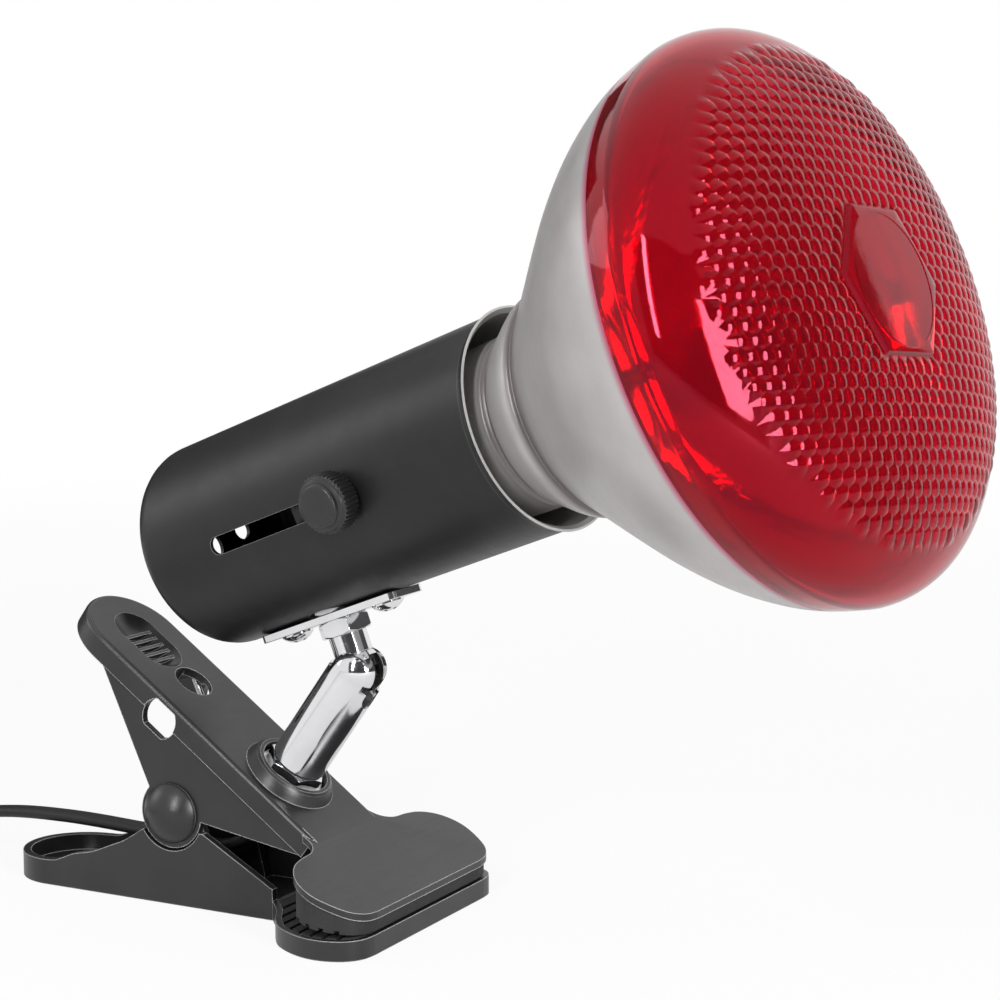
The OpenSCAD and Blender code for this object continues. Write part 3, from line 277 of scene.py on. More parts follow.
def build_drift():
    """Slow drift between two colours, with a little dust in the darker one."""
    group, ins, outs = new_group("colour drift", [
        ("First", "NodeSocketColor", (0.5, 0.5, 0.5, 1)), ("Second", "NodeSocketColor", (0.4, 0.4, 0.4, 1)),
        ("Scale", "NodeSocketFloat", 60.0), ("Contrast", "NodeSocketFloat", 0.5)], [("Color", "NodeSocketColor")])
    at = group.nodes.new("ShaderNodeTexCoord").outputs["Object"]
    slow = add(group, "ShaderNodeTexNoise", Detail=5.0, Roughness=0.6)
    group.links.new(at, slow.inputs["Vector"])
    group.links.new(ins.outputs["Scale"], slow.inputs["Scale"])
    centred = math_node(group, "SUBTRACT", slow.outputs["Fac"], 0.5)
    spread = math_node(group, "MULTIPLY", centred, math_node(group, "MULTIPLY", ins.outputs["Contrast"], 6.0))
    share = math_node(group, "ADD", spread, 0.5, clamp=True)
    mixed = mix_colours(group, share, ins.outputs["First"], ins.outputs["Second"])
    group.links.new(mixed, outs.inputs["Color"])
    return group


def build_edge_highlight():
    """Painted edge highlight: a mask where the normal, rounded over a short radius, leaves the face's own."""
    group, ins, outs = new_group("painted edge highlight", [
        ("Radius", "NodeSocketFloat", 0.0004)], [("Mask", "NodeSocketFloat")])
    turned = group.nodes.new("ShaderNodeBevel")
    turned.samples = 4
    group.links.new(ins.outputs["Radius"], turned.inputs["Radius"])
    face = group.nodes.new("ShaderNodeNewGeometry").outputs["True Normal"]
    agree = vector_node(group, "DOT_PRODUCT", turned.outputs["Normal"], face, "Value")
    mask = add(group, "ShaderNodeMapRange", From_Min=0.99, From_Max=0.90)
    group.links.new(agree, mask.inputs["Value"])
    group.links.new(mask.outputs["Result"], outs.inputs["Mask"])
    return group


def build_banding():
    """Distance in mm along an axis from a point, for bands turned round a piece."""
    group, ins, outs = new_group("turned bands", [
        ("From", "NodeSocketVector", (0, 0, 0)), ("Axis", "NodeSocketVector", (1, 0, 0))],
        [("Distance", "NodeSocketFloat")])
    at = group.nodes.new("ShaderNodeTexCoord").outputs["Object"]
    offset = vector_node(group, "SUBTRACT", at, ins.outputs["From"], "Vector")
    along = vector_node(group, "DOT_PRODUCT", offset, ins.outputs["Axis"], "Value")
    group.links.new(math_node(group, "DIVIDE", along, MM), outs.inputs["Distance"])
    return group


GRAIN, MARKS, DRIFT = build_grain(), build_marks(), build_drift()
EDGE_HIGHLIGHT, BANDING = build_edge_highlight(), build_banding()


def use_group(tree, group, **values):
    node = tree.nodes.new("ShaderNodeGroup")
    node.node_tree = group
    for key, value in values.items():
        node.inputs[key].default_value = value
    return node


def finish(name, first, second, rough, metal=0.0, drift=(60, 0.5), marks=40, grain=(1500, 0.4), bump=0.02, **sockets):
    """A finish with drifting colour, uneven gloss and fine relief. bump is the relief's depth in mm."""
    mat = bpy.data.materials.new(name)
    mat.use_nodes = True
    tree = mat.node_tree
    bsdf = tree.nodes["Principled BSDF"]
    bsdf.inputs["Metallic"].default_value = metal
    for key, value in sockets.items():
        bsdf.inputs[key.replace("_", " ")].default_value = value
    colour = use_group(tree, DRIFT, First=(*first, 1), Second=(*second, 1), Scale=drift[0], Contrast=drift[1])
    tree.links.new(colour.outputs["Color"], bsdf.inputs["Base Color"])
    gloss = use_group(tree, MARKS, Scale=marks, Low=rough[0], High=rough[1])
    tree.links.new(gloss.outputs["Value"], bsdf.inputs["Roughness"])
    if bump:
        relief = use_group(tree, GRAIN, Scale=grain[0], Pits=grain[1])
        bumps = tree.nodes.new("ShaderNodeBump")
        bumps.inputs["Distance"].default_value = bump * MM
        tree.links.new(relief.outputs["Height"], bumps.inputs["Height"])
        tree.links.new(bumps.outputs["Normal"], bsdf.inputs["Normal"])
    return mat


def tinted(mat, mask, colour):
    """Turns the finish to a colour where the mask is high."""
    tree = mat.node_tree
    base = tree.nodes["Principled BSDF"].inputs["Base Color"]
    tree.links.new(mix_colours(tree, mask, base.links[0].from_socket, colour), base)
    return mat


def paint_edge_highlight(mat, radius, colour):
    """Lightens the finish along its edges, over a radius in mm: a painted highlight where the rounded edges would
    catch the light.
    """
    return tinted(mat, use_group(mat.node_tree, EDGE_HIGHLIGHT, Radius=radius * MM).outputs["Mask"], colour)


def banded(mat, stops, colour, first=-20.0, last=70.0):
    """Colours bands round the lamp's axis: stops are (mm from the cup's mouth, strength)."""
    tree = mat.node_tree
    along = use_group(tree, BANDING, From=tuple(mouth), Axis=tuple(lamp_axis)).outputs["Distance"]
    place = math_node(tree, "DIVIDE", math_node(tree, "SUBTRACT", along, first), last - first)
    ramp = tree.nodes.new("ShaderNodeValToRGB")
    tree.links.new(place, ramp.inputs[0])
    while len(ramp.color_ramp.elements) < len(stops):
        ramp.color_ramp.elements.new(0.5)
    for element, (at, strength) in zip(ramp.color_ramp.elements, stops):
        element.position = (at - first) / (last - first)
        element.color = (strength, strength, strength, 1)
    return tinted(mat, ramp.outputs["Color"], colour)


def coat(piece, mat):
    """Gives the whole piece one material."""
    piece.data.materials.clear()
    piece.data.materials.append(mat)
    return piece


FINISHES = {
    "black_plastic": finish("clamp nylon", (0.010, 0.010, 0.0105), (0.016, 0.016, 0.017), (0.28, 0.40), bump=0.012),
    "pad_rubber": finish("pad rubber", (0.007, 0.007, 0.007), (0.013, 0.013, 0.0125), (0.6, 0.78),
                         grain=(2200, 0.8), bump=0.03),
    "seat_nylon": finish("seat nylon", (0.72, 0.71, 0.66), (0.62, 0.60, 0.54), (0.4, 0.55), bump=0.01),
    "chrome": finish("bright chrome", (0.80, 0.80, 0.81), (0.70, 0.70, 0.72), (0.05, 0.13), metal=1.0,
                     grain=(700, 0.1), bump=0.002),
    "zinc_steel": finish("zinc plate", (0.60, 0.60, 0.61), (0.46, 0.46, 0.48), (0.28, 0.42), metal=1.0, bump=0.006),
    "porcelain": finish("porcelain", (0.86, 0.84, 0.78), (0.76, 0.73, 0.66), (0.3, 0.5), bump=0.02),
    "brass": finish("brass", (0.78, 0.56, 0.24), (0.60, 0.42, 0.18), (0.2, 0.36), metal=1.0, bump=0.004),
    "nickel": finish("nickel plate", (0.70, 0.67, 0.60), (0.58, 0.55, 0.49), (0.2, 0.36), metal=1.0, bump=0.004),
    "cap_alloy": finish("cap alloy", (0.76, 0.76, 0.75), (0.62, 0.61, 0.59), (0.22, 0.36), metal=1.0, bump=0.004),
    "solder": finish("solder", (0.55, 0.55, 0.55), (0.40, 0.40, 0.41), (0.35, 0.5), metal=1.0,
                     grain=(500, 0.4), bump=0.05),
    "cap_glass": finish("cap glass", (0.018, 0.012, 0.024), (0.035, 0.024, 0.045), (0.08, 0.16), bump=0.01),
    "tungsten": finish("tungsten", (0.22, 0.22, 0.23), (0.13, 0.13, 0.14), (0.35, 0.5), metal=1.0, bump=0.004),
    "wire_sleeve": finish("wire sleeve", (0.022, 0.022, 0.023), (0.036, 0.036, 0.037), (0.4, 0.55), bump=0.01),
    "fibre_sleeve": finish("fibre sleeve", (0.74, 0.70, 0.60), (0.60, 0.55, 0.45), (0.7, 0.9),
                           grain=(2600, 0.9), bump=0.06),
    "cord_black": finish("cord sheath", (0.006, 0.006, 0.006), (0.011, 0.011, 0.011), (0.40, 0.54), bump=0.01,
                         Specular_IOR_Level=0.35),
    "switch_plastic": finish("switch shell", (0.018, 0.018, 0.019), (0.026, 0.026, 0.027), (0.3, 0.42), bump=0.012),
    "rocker_red": finish("rocker red", (0.42, 0.012, 0.010), (0.34, 0.008, 0.008), (0.2, 0.32), bump=0.006),
    "silvered_glass": finish("silvered glass", (0.46, 0.44, 0.445), (0.40, 0.375, 0.37), (0.30, 0.46), metal=0.35,
                             drift=(90, 0.35), grain=(900, 0.3), bump=0.012),
    "red_glass": finish("red glass", (0.55, 0.007, 0.022), (0.47, 0.005, 0.017), (0.03, 0.08), drift=(30, 0.4),
                        grain=(150, 0.1), bump=0.02, Transmission_Weight=0.85, IOR=1.5,
                        Specular_Tint=(1.0, 0.16, 0.27, 1)),
    "black_paint": finish("black coat", (0.008, 0.008, 0.008), (0.013, 0.013, 0.0135), (0.36, 0.46),
                          grain=(1800, 0.3), bump=0.015, Specular_IOR_Level=0.32)}
mirror = finish("mirror inside", (0.93, 0.91, 0.89), (0.88, 0.86, 0.84), (0.02, 0.06), metal=1.0,
                grain=(300, 0.1), bump=0.01)
bare_silver = finish("bare silver", (0.66, 0.66, 0.65), (0.56, 0.56, 0.54), (0.30, 0.44), metal=0.45, bump=0.004)
# painted shade: a near-black steel for the holder's carrier, which sits in shade inside the cylinder
painted_shade_steel = finish("steel darkened as painted shade", (0.030, 0.030, 0.031), (0.018, 0.018, 0.018), (0.35, 0.5),
                    metal=0.6, bump=0.005)
knob_nylon = finish("knob nylon", (0.008, 0.008, 0.008), (0.014, 0.014, 0.0145), (0.26, 0.38), bump=0.01)
# painted reflection: a whitish, partly matt finish standing in for the white that the chrome washer reflects
painted_reflection_disc = finish("washer painted reflection", (0.88, 0.88, 0.88), (0.78, 0.78, 0.79), (0.16, 0.26), metal=0.3, bump=0.003)

# painted highlight: each finish's edges are lightened towards the grey given here, standing in for light caught on
# the rounded edges
for slot, radius, shade in (("black_plastic", 0.32, 0.50), ("black_paint", 0.25, 0.22),
                            ("switch_plastic", 0.4, 0.10)):
    paint_edge_highlight(FINISHES[slot], radius, (shade, shade, shade))
# painted shade in the two grooves of the bulb's neck
banded(FINISHES["silvered_glass"], [(-20, 0.0), (-1.4, 0.0), (0.2, 0.75), (1.5, 0.75), (3.0, 0.0), (11.2, 0.0),
                                    (12.7, 0.75), (14.3, 0.8), (17.5, 0.25), (23, 0.0)], (0.075, 0.060, 0.058))
# painted shade: the cylinder's inner wall darkens to near black deeper in
banded(bare_silver, [(-46, 1.0), (-15, 0.0)], (0.012, 0.012, 0.012), first=-60)
# the red tinge by the bulb's seam
banded(FINISHES["silvered_glass"], [(60.6, 0.0), (62.4, 0.95)], (0.40, 0.02, 0.10))

for node, slot in SLOT_OF.items():
    coat(nodes[node], FINISHES[slot])


# Pieces on the lamp's bodies

def stand_in(piece, replaced):
    """Takes the place of CAD nodes, with the first one's slot and finish."""
    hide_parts(*replaced)
    return coat(piece, FINISHES[SLOT_OF[replaced[0]]])


def carried(piece, *replaced):
    """Rides on the body of the nodes that it replaces."""
    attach(piece, BODY_OF[replaced[0]])
    return stand_in(piece, replaced)


def spanning(piece, first, second, start_at, end_at, *replaced):
    """Lies between the two bodies of a joint, baked where it is drawn; it is fixed to neither body and does not bend.
    """
    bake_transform(piece)
    return stand_in(piece, replaced)


# Camera, floor and light

# the camera's place, and its right, up and back directions, by a fit to the picture
camera = bpy.data.objects.new("camera", bpy.data.cameras.new("camera"))
camera.data.sensor_width, camera.data.lens = 36, 86.4
camera.data.clip_start = 0.01
camera.matrix_world = axes_at(Vector((0.287886, -0.475820, 0.161116)), Vector((0.884060, 0.467373, -0.000903)),
                              Vector((-0.054923, 0.105808, 0.992869)), Vector((0.464136, -0.877706, 0.119210)))
bpy.context.collection.objects.link(camera)
bpy.context.scene.camera = camera
bpy.context.scene.view_settings.view_transform = "Standard"


def seen_rays(tree, mirrored):
    """1 for rays from the camera, and a share of it for rays off mirrors and through glass."""
    rays = tree.nodes.new("ShaderNodeLightPath")
    bounced = math_node(tree, "MAXIMUM", rays.outputs["Is Glossy Ray"], rays.outputs["Is Transmission Ray"])
    return math_node(tree, "MAXIMUM", rays.outputs["Is Camera Ray"], math_node(tree, "MULTIPLY", bounced, mirrored))


def matt(name, shade):
    mat = bpy.data.materials.new(name)
    mat.use_nodes = True
    bsdf = mat.node_tree.nodes["Principled BSDF"]
    bsdf.inputs["Base Color"].default_value = (shade, shade, shade, 1)
    bsdf.inputs["Roughness"].default_value = 0.9
    return mat


def build_world():
    """White where it is seen, and dimmer as a light."""
    world = bpy.data.worlds.new("studio")
    bpy.context.scene.world = world
    world.use_nodes = True
    tree = world.node_tree
    back = tree.nodes["Background"]
    back.inputs["Color"].default_value = (1, 1, 1, 1)
    gain = math_node(tree, "MULTIPLY", seen_rays(tree, 1.0), 1 - WORLD_LIGHT)
    tree.links.new(math_node(tree, "ADD", gain, WORLD_LIGHT), back.inputs["Strength"])


def build_floor():
    """Pale floor that takes the lamp's shadow and fades to plain white round it."""
    bpy.ops.mesh.primitive_plane_add(size=8, location=(0, 0, FLOOR_Z * MM))
    floor = settle(start("floor"))
    mat = matt("pale floor", 0.85)
    tree = mat.node_tree
    from_lamp = tree.nodes.new("ShaderNodeVectorMath")
    from_lamp.operation = "LENGTH"
    tree.links.new(tree.nodes.new("ShaderNodeTexCoord").outputs["Object"], from_lamp.inputs[0])
    fade = add(tree, "ShaderNodeMapRange", From_Min=0.3, From_Max=1.0, To_Min=0.9, To_Max=1.0)
    tree.links.new(from_lamp.outputs["Value"], fade.inputs["Value"])
    mix = tree.nodes.new("ShaderNodeMixShader")
    white = math_node(tree, "MULTIPLY", seen_rays(tree, FLOOR_MIRRORED), fade.outputs["Result"])
    tree.links.new(white, mix.inputs[0])
    tree.links.new(tree.nodes["Principled BSDF"].outputs[0], mix.inputs[1])
    tree.links.new(tree.nodes.new("ShaderNodeEmission").outputs[0], mix.inputs[2])
    tree.links.new(mix.outputs[0], tree.nodes["Material Output"].inputs["Surface"])
    coat(floor, mat)


def facing_lamp(bearing, elevation, distance):
    """A place turned towards the lamp: a bearing of 0 is -Y, and 90 is +X."""
    a, e = math.radians(bearing), math.radians(elevation)
    way = Vector((math.sin(a) * math.cos(e), -math.cos(a) * math.cos(e), math.sin(e)))
    return Matrix.Translation(LIT_POINT + way * distance) @ way.to_track_quat("Z", "Y").to_matrix().to_4x4()


def softbox(name, place, width, height, power):
    light = bpy.data.lights.new(name, "AREA")
    light.shape = "RECTANGLE"
    light.size, light.size_y, light.energy = width, height, power
    lamp = bpy.data.objects.new(name, light)
    lamp.matrix_world = place
    bpy.context.collection.objects.link(lamp)


def flag(name, place, width, height, shade):
    """A dark card for the chrome and glass to reflect, out of the camera's sight."""
    bpy.ops.mesh.primitive_plane_add(size=1)
    card = start(name)
    card.scale = (width, height, 1)
    coat(settle(card, place), matt(name, shade))
    card.visible_camera = False


FLOOR_Z = -5.0
WORLD_LIGHT, FLOOR_MIRRORED, LIT_POINT = 0.55, 0.5, Vector((0.04, 0, 0.07))
build_world()
build_floor()
# each at a bearing, an elevation and a distance in m; widths and heights in m; then watts or the card's shade
softbox("tall window", facing_lamp(3, 26, 1.2), 0.10, 0.75, 9)
softbox("broad window", facing_lamp(64, 16, 1.2), 0.30, 0.60, 14)
softbox("left fill", facing_lamp(-72, 22, 1.4), 0.45, 0.5, 1.8)
flag("front flag", facing_lamp(25, 16, 1.7), 2.6, 1.9, 0.08)
flag("right flag", facing_lamp(106, 16, 1.5), 2.0, 1.7, 0.08)
flag("left flag", facing_lamp(-116, 4, 0.8), 0.7, 0.9, 0.03)


# Cords

def eased(points, steps):
    """Points along a smooth curve through the given points."""
    out = []
    for i in range(len(points) - 1):
        p0, p1, p2, p3 = (points[max(0, min(len(points) - 1, i + k))] for k in (-1, 0, 1, 2))
        for step in range(steps):
            u = step / steps
            out.append(0.5 * (2 * p1 + (p2 - p0) * u + (2 * p0 - 5 * p1 + 4 * p2 - p3) * u * u
                              + (3 * p1 - p0 - 3 * p2 + p3) * u ** 3))
    return out + [points[-1]]


def laid(name, line, points, within=MM / 500, place=None):
    """The closed mesh of a line's section carried along the points."""
    line.dimensions = "3D"
    line.use_fill_caps = True
    spline = line.splines.new("POLY")
    spline.points.add(len(points) - 1)
    for point, at in zip(spline.points, points):
        point.co = (*at, 1)
    piece = bpy.data.objects.new(name, line)
    bpy.context.collection.objects.link(piece)
    only(piece)
    bpy.ops.object.convert(target="MESH")
    piece = bpy.context.object
    close_up(piece, within)
    return smooth(settle(piece, place), 50)


def swept(name, points, profile):
    """A section in mm, with its flat side kept level."""
    section = bpy.data.curves.new(name + " section", "CURVE")
    ring = section.splines.new("POLY")
    ring.points.add(len(profile) - 1)
    for point, (x, y) in zip(ring.points, profile):
        point.co = (x * MM, y * MM, 0, 1)
    ring.use_cyclic_u = True
    cutter = bpy.data.objects.new(name + " section", section)
    bpy.context.collection.objects.link(cutter)
    line = bpy.data.curves.new(name, "CURVE")
    line.twist_mode = "Z_UP"
    line.bevel_mode = "OBJECT"
    line.bevel_object = cutter
    piece = laid(name, line, points)
    bpy.data.objects.remove(cutter)
    return piece


def wire(name, points, diameter, place=None, sides=3):
    """Round wire through points given in mm in the place's own frame."""
    line = bpy.data.curves.new(name, "CURVE")
    line.bevel_depth = diameter / 2 * MM
    line.bevel_resolution = sides
    return laid(name, line, [[c * MM for c in at] for at in points], MM / 1000, place)


CORD_W, CORD_H = 5.2, 2.7
LIE_Z = FLOOR_Z + CORD_H / 2


def twin_section(lobe_turn=124, groove=0.9, count=9):
    """Two round conductors side by side, with a shallow groove between them."""
    r = CORD_H / 2
    centre = CORD_W / 2 - r
    right = []
    for k in range(count):
        a = math.radians(lobe_turn * (2 * k / (count - 1) - 1))
        right.append((centre + r * math.cos(a), r * math.sin(a)))
    left = [(-x, -y) for x, y in right]
    return right + [(0, groove)] + left + [(0, -groove)]


cord_a_points = [Vector(p) * MM for p in (
    (-58.5, 0, 8.2), (-62, 0, 8.2), (-66, 0, 8.3), (-72, 0, 8.5), (-78, 0, 8.7), (-85, 0, 8.8), (-92, 0, 8.7),
    (-98, 0, 8.5), (-104, 0, 8.1), (-110, 0.1, 7.4), (-115, 0.3, 6.6), (-120, 0.6, 5.6), (-125, 1.1, 4.3),
    (-130, 1.7, 2.9), (-135, 2.3, 1.4), (-140, 3, 0), (-145, 3.6, -1.3), (-150, 4.1, -2.3), (-155, 4.4, -3),
    (-160, 4.5, -3.4), (-166, 4.2, -3.6), (-172, 3.4, -3.5), (-177, 2.4, -3), (-181, 1.5, -2.2), (-185, 0.7, -1),
    (-188, 0.2, 0), (-191, 0, 0.8), (-194, 0, 1))]
COIL_CENTRE, COIL_R, COIL_STEP, LAYER_STEP = (-234, -58), 40, CORD_W + 0.5, CORD_H + 0.8
COIL_POINTS, TURN_POINTS, CLIMB_FROM, CLIMB_POINTS = 177, 24, 84, 12
CLIMB_MID = CLIMB_FROM + CLIMB_POINTS // 2


def coil_point(i):
    """A point of the coil, which winds inwards, climbs one cord's height and winds out again."""
    a = math.radians(180 + i * 360 / TURN_POINTS)
    r = COIL_R - COIL_STEP / TURN_POINTS * (i if i < CLIMB_MID else 2 * CLIMB_MID - i)
    u = max(0, min(1, (i - CLIMB_FROM) / CLIMB_POINTS))
    return Vector((COIL_CENTRE[0] + r * math.cos(a), COIL_CENTRE[1] + r * math.sin(a),
                   LIE_Z + LAYER_STEP * u * u * (3 - 2 * u))) * MM


coil_rows = [coil_point(i) for i in range(COIL_POINTS + 1)]
coil_way = Vector((math.cos(math.pi / 4), math.sin(math.pi / 4), 0))
coil_end = coil_rows[-1] + CORD_W * MM * coil_way
cord_b_points = [Vector(p) * MM for p in (
    (-250, 0, 1), (-253, 0, 0.9), (-257, -0.5, 0.2), (-261, -2, -0.9), (-264.6, -4.3, -2), (-267.8, -7.3, -2.9),
    (-270.4, -11, -3.4), (-272.4, -15.2, -3.6), (-273.6, -20, LIE_Z), (-274, -26, LIE_Z), (-274, -36, LIE_Z),
    (-274, -46, LIE_Z))]
cord_b_points += [coil_rows[0] + Vector((0, CORD_W * MM, 0))] + coil_rows + [coil_end, coil_end + 2.5 * MM * coil_way]
cord_b_points += [Vector(p) * MM for p in ((-196, -77.4, 0.6), (-192, -76.1, 1.2), (-187.5, -75.8, 1.7),
                                           (-185, -75.8, 1.8), (-182, -75.8, 1.8))]


cord_a = carried(swept("cord_to_switch", eased(cord_a_points, 3), twin_section()), "cord_run")
cord_b = carried(swept("cord_to_plug", eased(cord_b_points, 2), twin_section()),
                 "cord_link", "cord_coil", "cord_tail")


# Bulb

BULB_OUT, DOME_H, BULB_R, GLASS, BULB_STEPS = 90.1, 22.3, 60.5, 2.4, 160
SEAM_T, NECK_T, NECK_R = BULB_OUT - DOME_H, 14.4, 26.1
CAP_R, CAP_FRONT = 12.6, -17.9
DIMPLE_PITCH, DIMPLE_TURN, DIMPLE_RISE = 3.38, -8, 0.42
DIMPLE_ROW = DIMPLE_PITCH * math.sqrt(3) / 2
FIELD_R, PAD_FLAT, PAD_RISE, PAD_LINE = 51.4, 15.3, 0.9, 14.0
CLEAR_GAP, SKIN_SHIFT = 2.1, 0.3  # from the dimples to the clear rim; the inner skin's step along the axis
SIDE_POWER, CROWN_POWER = 2.79, 2.22  # how square the dome's section is, outwards and upwards


def dome_t(r):
    """Height along the lamp's axis of the lens at a distance from that axis."""
    return SEAM_T + DOME_H * max(0.0, 1 - (r / BULB_R) ** SIDE_POWER) ** (1 / CROWN_POWER)


def dome_outline(big_r, height, steps, last=90.0):
    """Outline points from the seam up towards the lens's middle, by angle."""
    out = []
    for i in range(steps + 1):
        a = math.radians(last * i / steps)
        r = big_r * max(0.0, math.cos(a)) ** (2 / SIDE_POWER)
        at_top = a > math.pi / 2 - 1e-4
        out.append((SEAM_T + height * math.sin(a) ** (2 / CROWN_POWER), 0.0 if at_top else r))
    return out


def curve_through(points, steps):
    """Outline points along a smooth curve through the given ones."""
    return [tuple(p)[:2] for p in eased([Vector((*p, 0)) for p in points], steps)]


FLARE = ((0, 0), (0.24, 0.18), (0.44, 0.33), (0.63, 0.48), (0.79, 0.63), (0.91, 0.78), (0.97, 0.9), (1, 1))
FLARE_STEPS = 6
flare = [(NECK_T + (SEAM_T - NECK_T) * t, NECK_R + (BULB_R - NECK_R) * r)
         for r, t in curve_through(FLARE, FLARE_STEPS)]
red_edge = 6 * FLARE_STEPS  # the flare's point where the silver ends and the red glass begins
NECK = ((CAP_FRONT, CAP_R + 1), (-14.8, 17.4), (-12.4, 19.3), (-9, 19.7), (-3, 19.8), (-0.4, 20), (0.3, 19.5),
        (0.9, 19.2), (1.5, 19.6), (2.2, 20.6), (4.2, 21.8), (6.2, 23.1), (8.2, 24.4), (10, 25.4), (11.7, 26),
        (12.7, 25.8), (13.2, 25.3), (13.7, 25.5), (NECK_T, NECK_R))


def build_reflector():
    """Pressed glass, grey from outside and mirrored within, with its neck's two grooves."""
    foot = (CAP_FRONT - 1.5, CAP_R - 1)
    outer = [foot] + curve_through(NECK, 4) + flare[1:red_edge + 1]
    inner = [(t + (0.0 if k == 0 else SKIN_SHIFT), r - GLASS) for k, (t, r) in enumerate(reversed(outer[1:]))]
    outline = outer + inner + [(foot[0], foot[1] - GLASS), foot]
    piece = carried(lathe("bulb_reflector_glass", outline, BULB_STEPS), "bulb_reflector")
    piece.data.materials.append(mirror)
    for face in piece.data.polygons:
        at = face.center - mouth
        outward = at - at.dot(lamp_axis) * lamp_axis
        face.material_index = 1 if face.normal.dot(outward) < 0 and at.dot(lamp_axis) > CAP_FRONT * MM else 0
    smooth(piece, 50)


def tile_centre(x, y):
    """The middle of the six-sided tile that a point lies in."""
    rows = (math.floor(y / DIMPLE_ROW), math.ceil(y / DIMPLE_ROW))
    centres = [(DIMPLE_PITCH * (i + k / 2), DIMPLE_ROW * k) for k in rows
               for i in (math.floor(x / DIMPLE_PITCH - k / 2), math.ceil(x / DIMPLE_PITCH - k / 2))]
    return min(centres, key=lambda c: (c[0] - x) ** 2 + (c[1] - y) ** 2)


def build_dimples():
    """A field of close-packed lenslets, cut from an array of one six-sided tile."""
    corner = DIMPLE_PITCH / math.sqrt(3)
    bpy.ops.mesh.primitive_circle_add(vertices=6, radius=corner, fill_type="TRIFAN")
    field = start("dimple_field")
    enter_edit(field)
    bpy.ops.mesh.select_all(action="SELECT")
    bpy.ops.mesh.subdivide(number_cuts=3)
    leave_edit()
    for vertex in field.data.vertices:  # crowns the tile
        share = vertex.co.length / corner
        vertex.co.z = DIMPLE_RISE * (1 - share * share)
    across, along = 51, 37  # tiles in a row, and rows
    for count, step in ((across, (DIMPLE_PITCH, 0, 0)), (along, (DIMPLE_PITCH / 2, DIMPLE_ROW, 0))):
        repeat = field.modifiers.new("repeat", "ARRAY")
        repeat.count = count
        repeat.use_relative_offset = False
        repeat.use_constant_offset = True
        repeat.constant_offset_displace = step
        repeat.use_merge_vertices = True
        repeat.merge_threshold = 0.05
    apply_all(field)
    half_up = (along - 1) // 2
    middle = Vector((DIMPLE_PITCH * ((across - 1) // 2 + half_up / 2), DIMPLE_ROW * half_up, 0))
    for vertex in field.data.vertices:
        vertex.co -= middle
    drop_selection(field)
    for face in field.data.polygons:
        x, y = tile_centre(face.center.x, face.center.y)
        flat = max(x * math.cos(a) + y * math.sin(a) for a in (math.radians(30 + 60 * n) for n in range(6)))
        face.select = math.hypot(x, y) > FIELD_R or flat < PAD_FLAT
    enter_edit(field)
    bpy.ops.mesh.select_mode(type="FACE")
    bpy.ops.mesh.delete(type="FACE")
    leave_edit()
    return field


def build_pad():
    """The flat six-sided pad in the lens's middle, stepped up, with one thin raised circle."""
    bpy.ops.mesh.primitive_circle_add(vertices=96, radius=PAD_LINE, fill_type="NGON")
    pad = start("lens_pad")
    enter_edit(pad)
    bpy.ops.mesh.select_mode(type="FACE")
    bpy.ops.mesh.select_all(action="SELECT")
    # up the raised circle, along its top and down again, then four plain rings inside it
    for inwards, up in ((0.10, 0.14), (0.16, 0), (0.10, -0.14)) + ((2.7, 0),) * 4:
        bpy.ops.mesh.inset(thickness=inwards, depth=up)
    leave_edit()
    bpy.ops.mesh.primitive_circle_add(vertices=6, radius=1)
    rim = start("pad_rim")
    enter_edit(rim)
    bpy.ops.transform.rotate(value=math.radians(30), orient_axis="Z", center_override=(0, 0, 0))
    bpy.ops.mesh.subdivide(number_cuts=15)
    bpy.ops.transform.resize(value=(PAD_FLAT / math.cos(math.radians(30)) - 0.9,) * 3)
    for out, down in ((0.3, -0.12), (0.25, -0.4), (0.45, -0.38)):
        bpy.ops.mesh.extrude_region_move()
        grow = 1 + out / PAD_FLAT
        bpy.ops.transform.resize(value=(grow, grow, 1))
        bpy.ops.transform.translate(value=(0, 0, down))
    leave_edit()
    for piece in (pad, rim):
        for vertex in piece.data.vertices:
            vertex.co.z += PAD_RISE
    return pad, rim


def bridge_between(piece, inside, outside, above=-9.0):
    """Bridges the two open edge loops that lie between two distances from the middle."""
    bpy.context.tool_settings.mesh_select_mode = (False, True, False)
    drop_selection(piece)
    mesh = piece.data
    uses = {}
    for face in mesh.polygons:
        for key in face.edge_keys:
            uses[key] = uses.get(key, 0) + 1
    for edge in mesh.edges:
        a, b = (mesh.vertices[i] for i in edge.vertices)
        middle = (a.co + b.co) / 2
        key = tuple(sorted(edge.vertices))
        if uses.get(key, 0) < 2 and inside < math.hypot(middle.x, middle.y) < outside and middle.z > above:
            edge.select = a.select = b.select = True
    enter_edit(piece)
    bpy.ops.mesh.bridge_edge_loops()
    leave_edit()


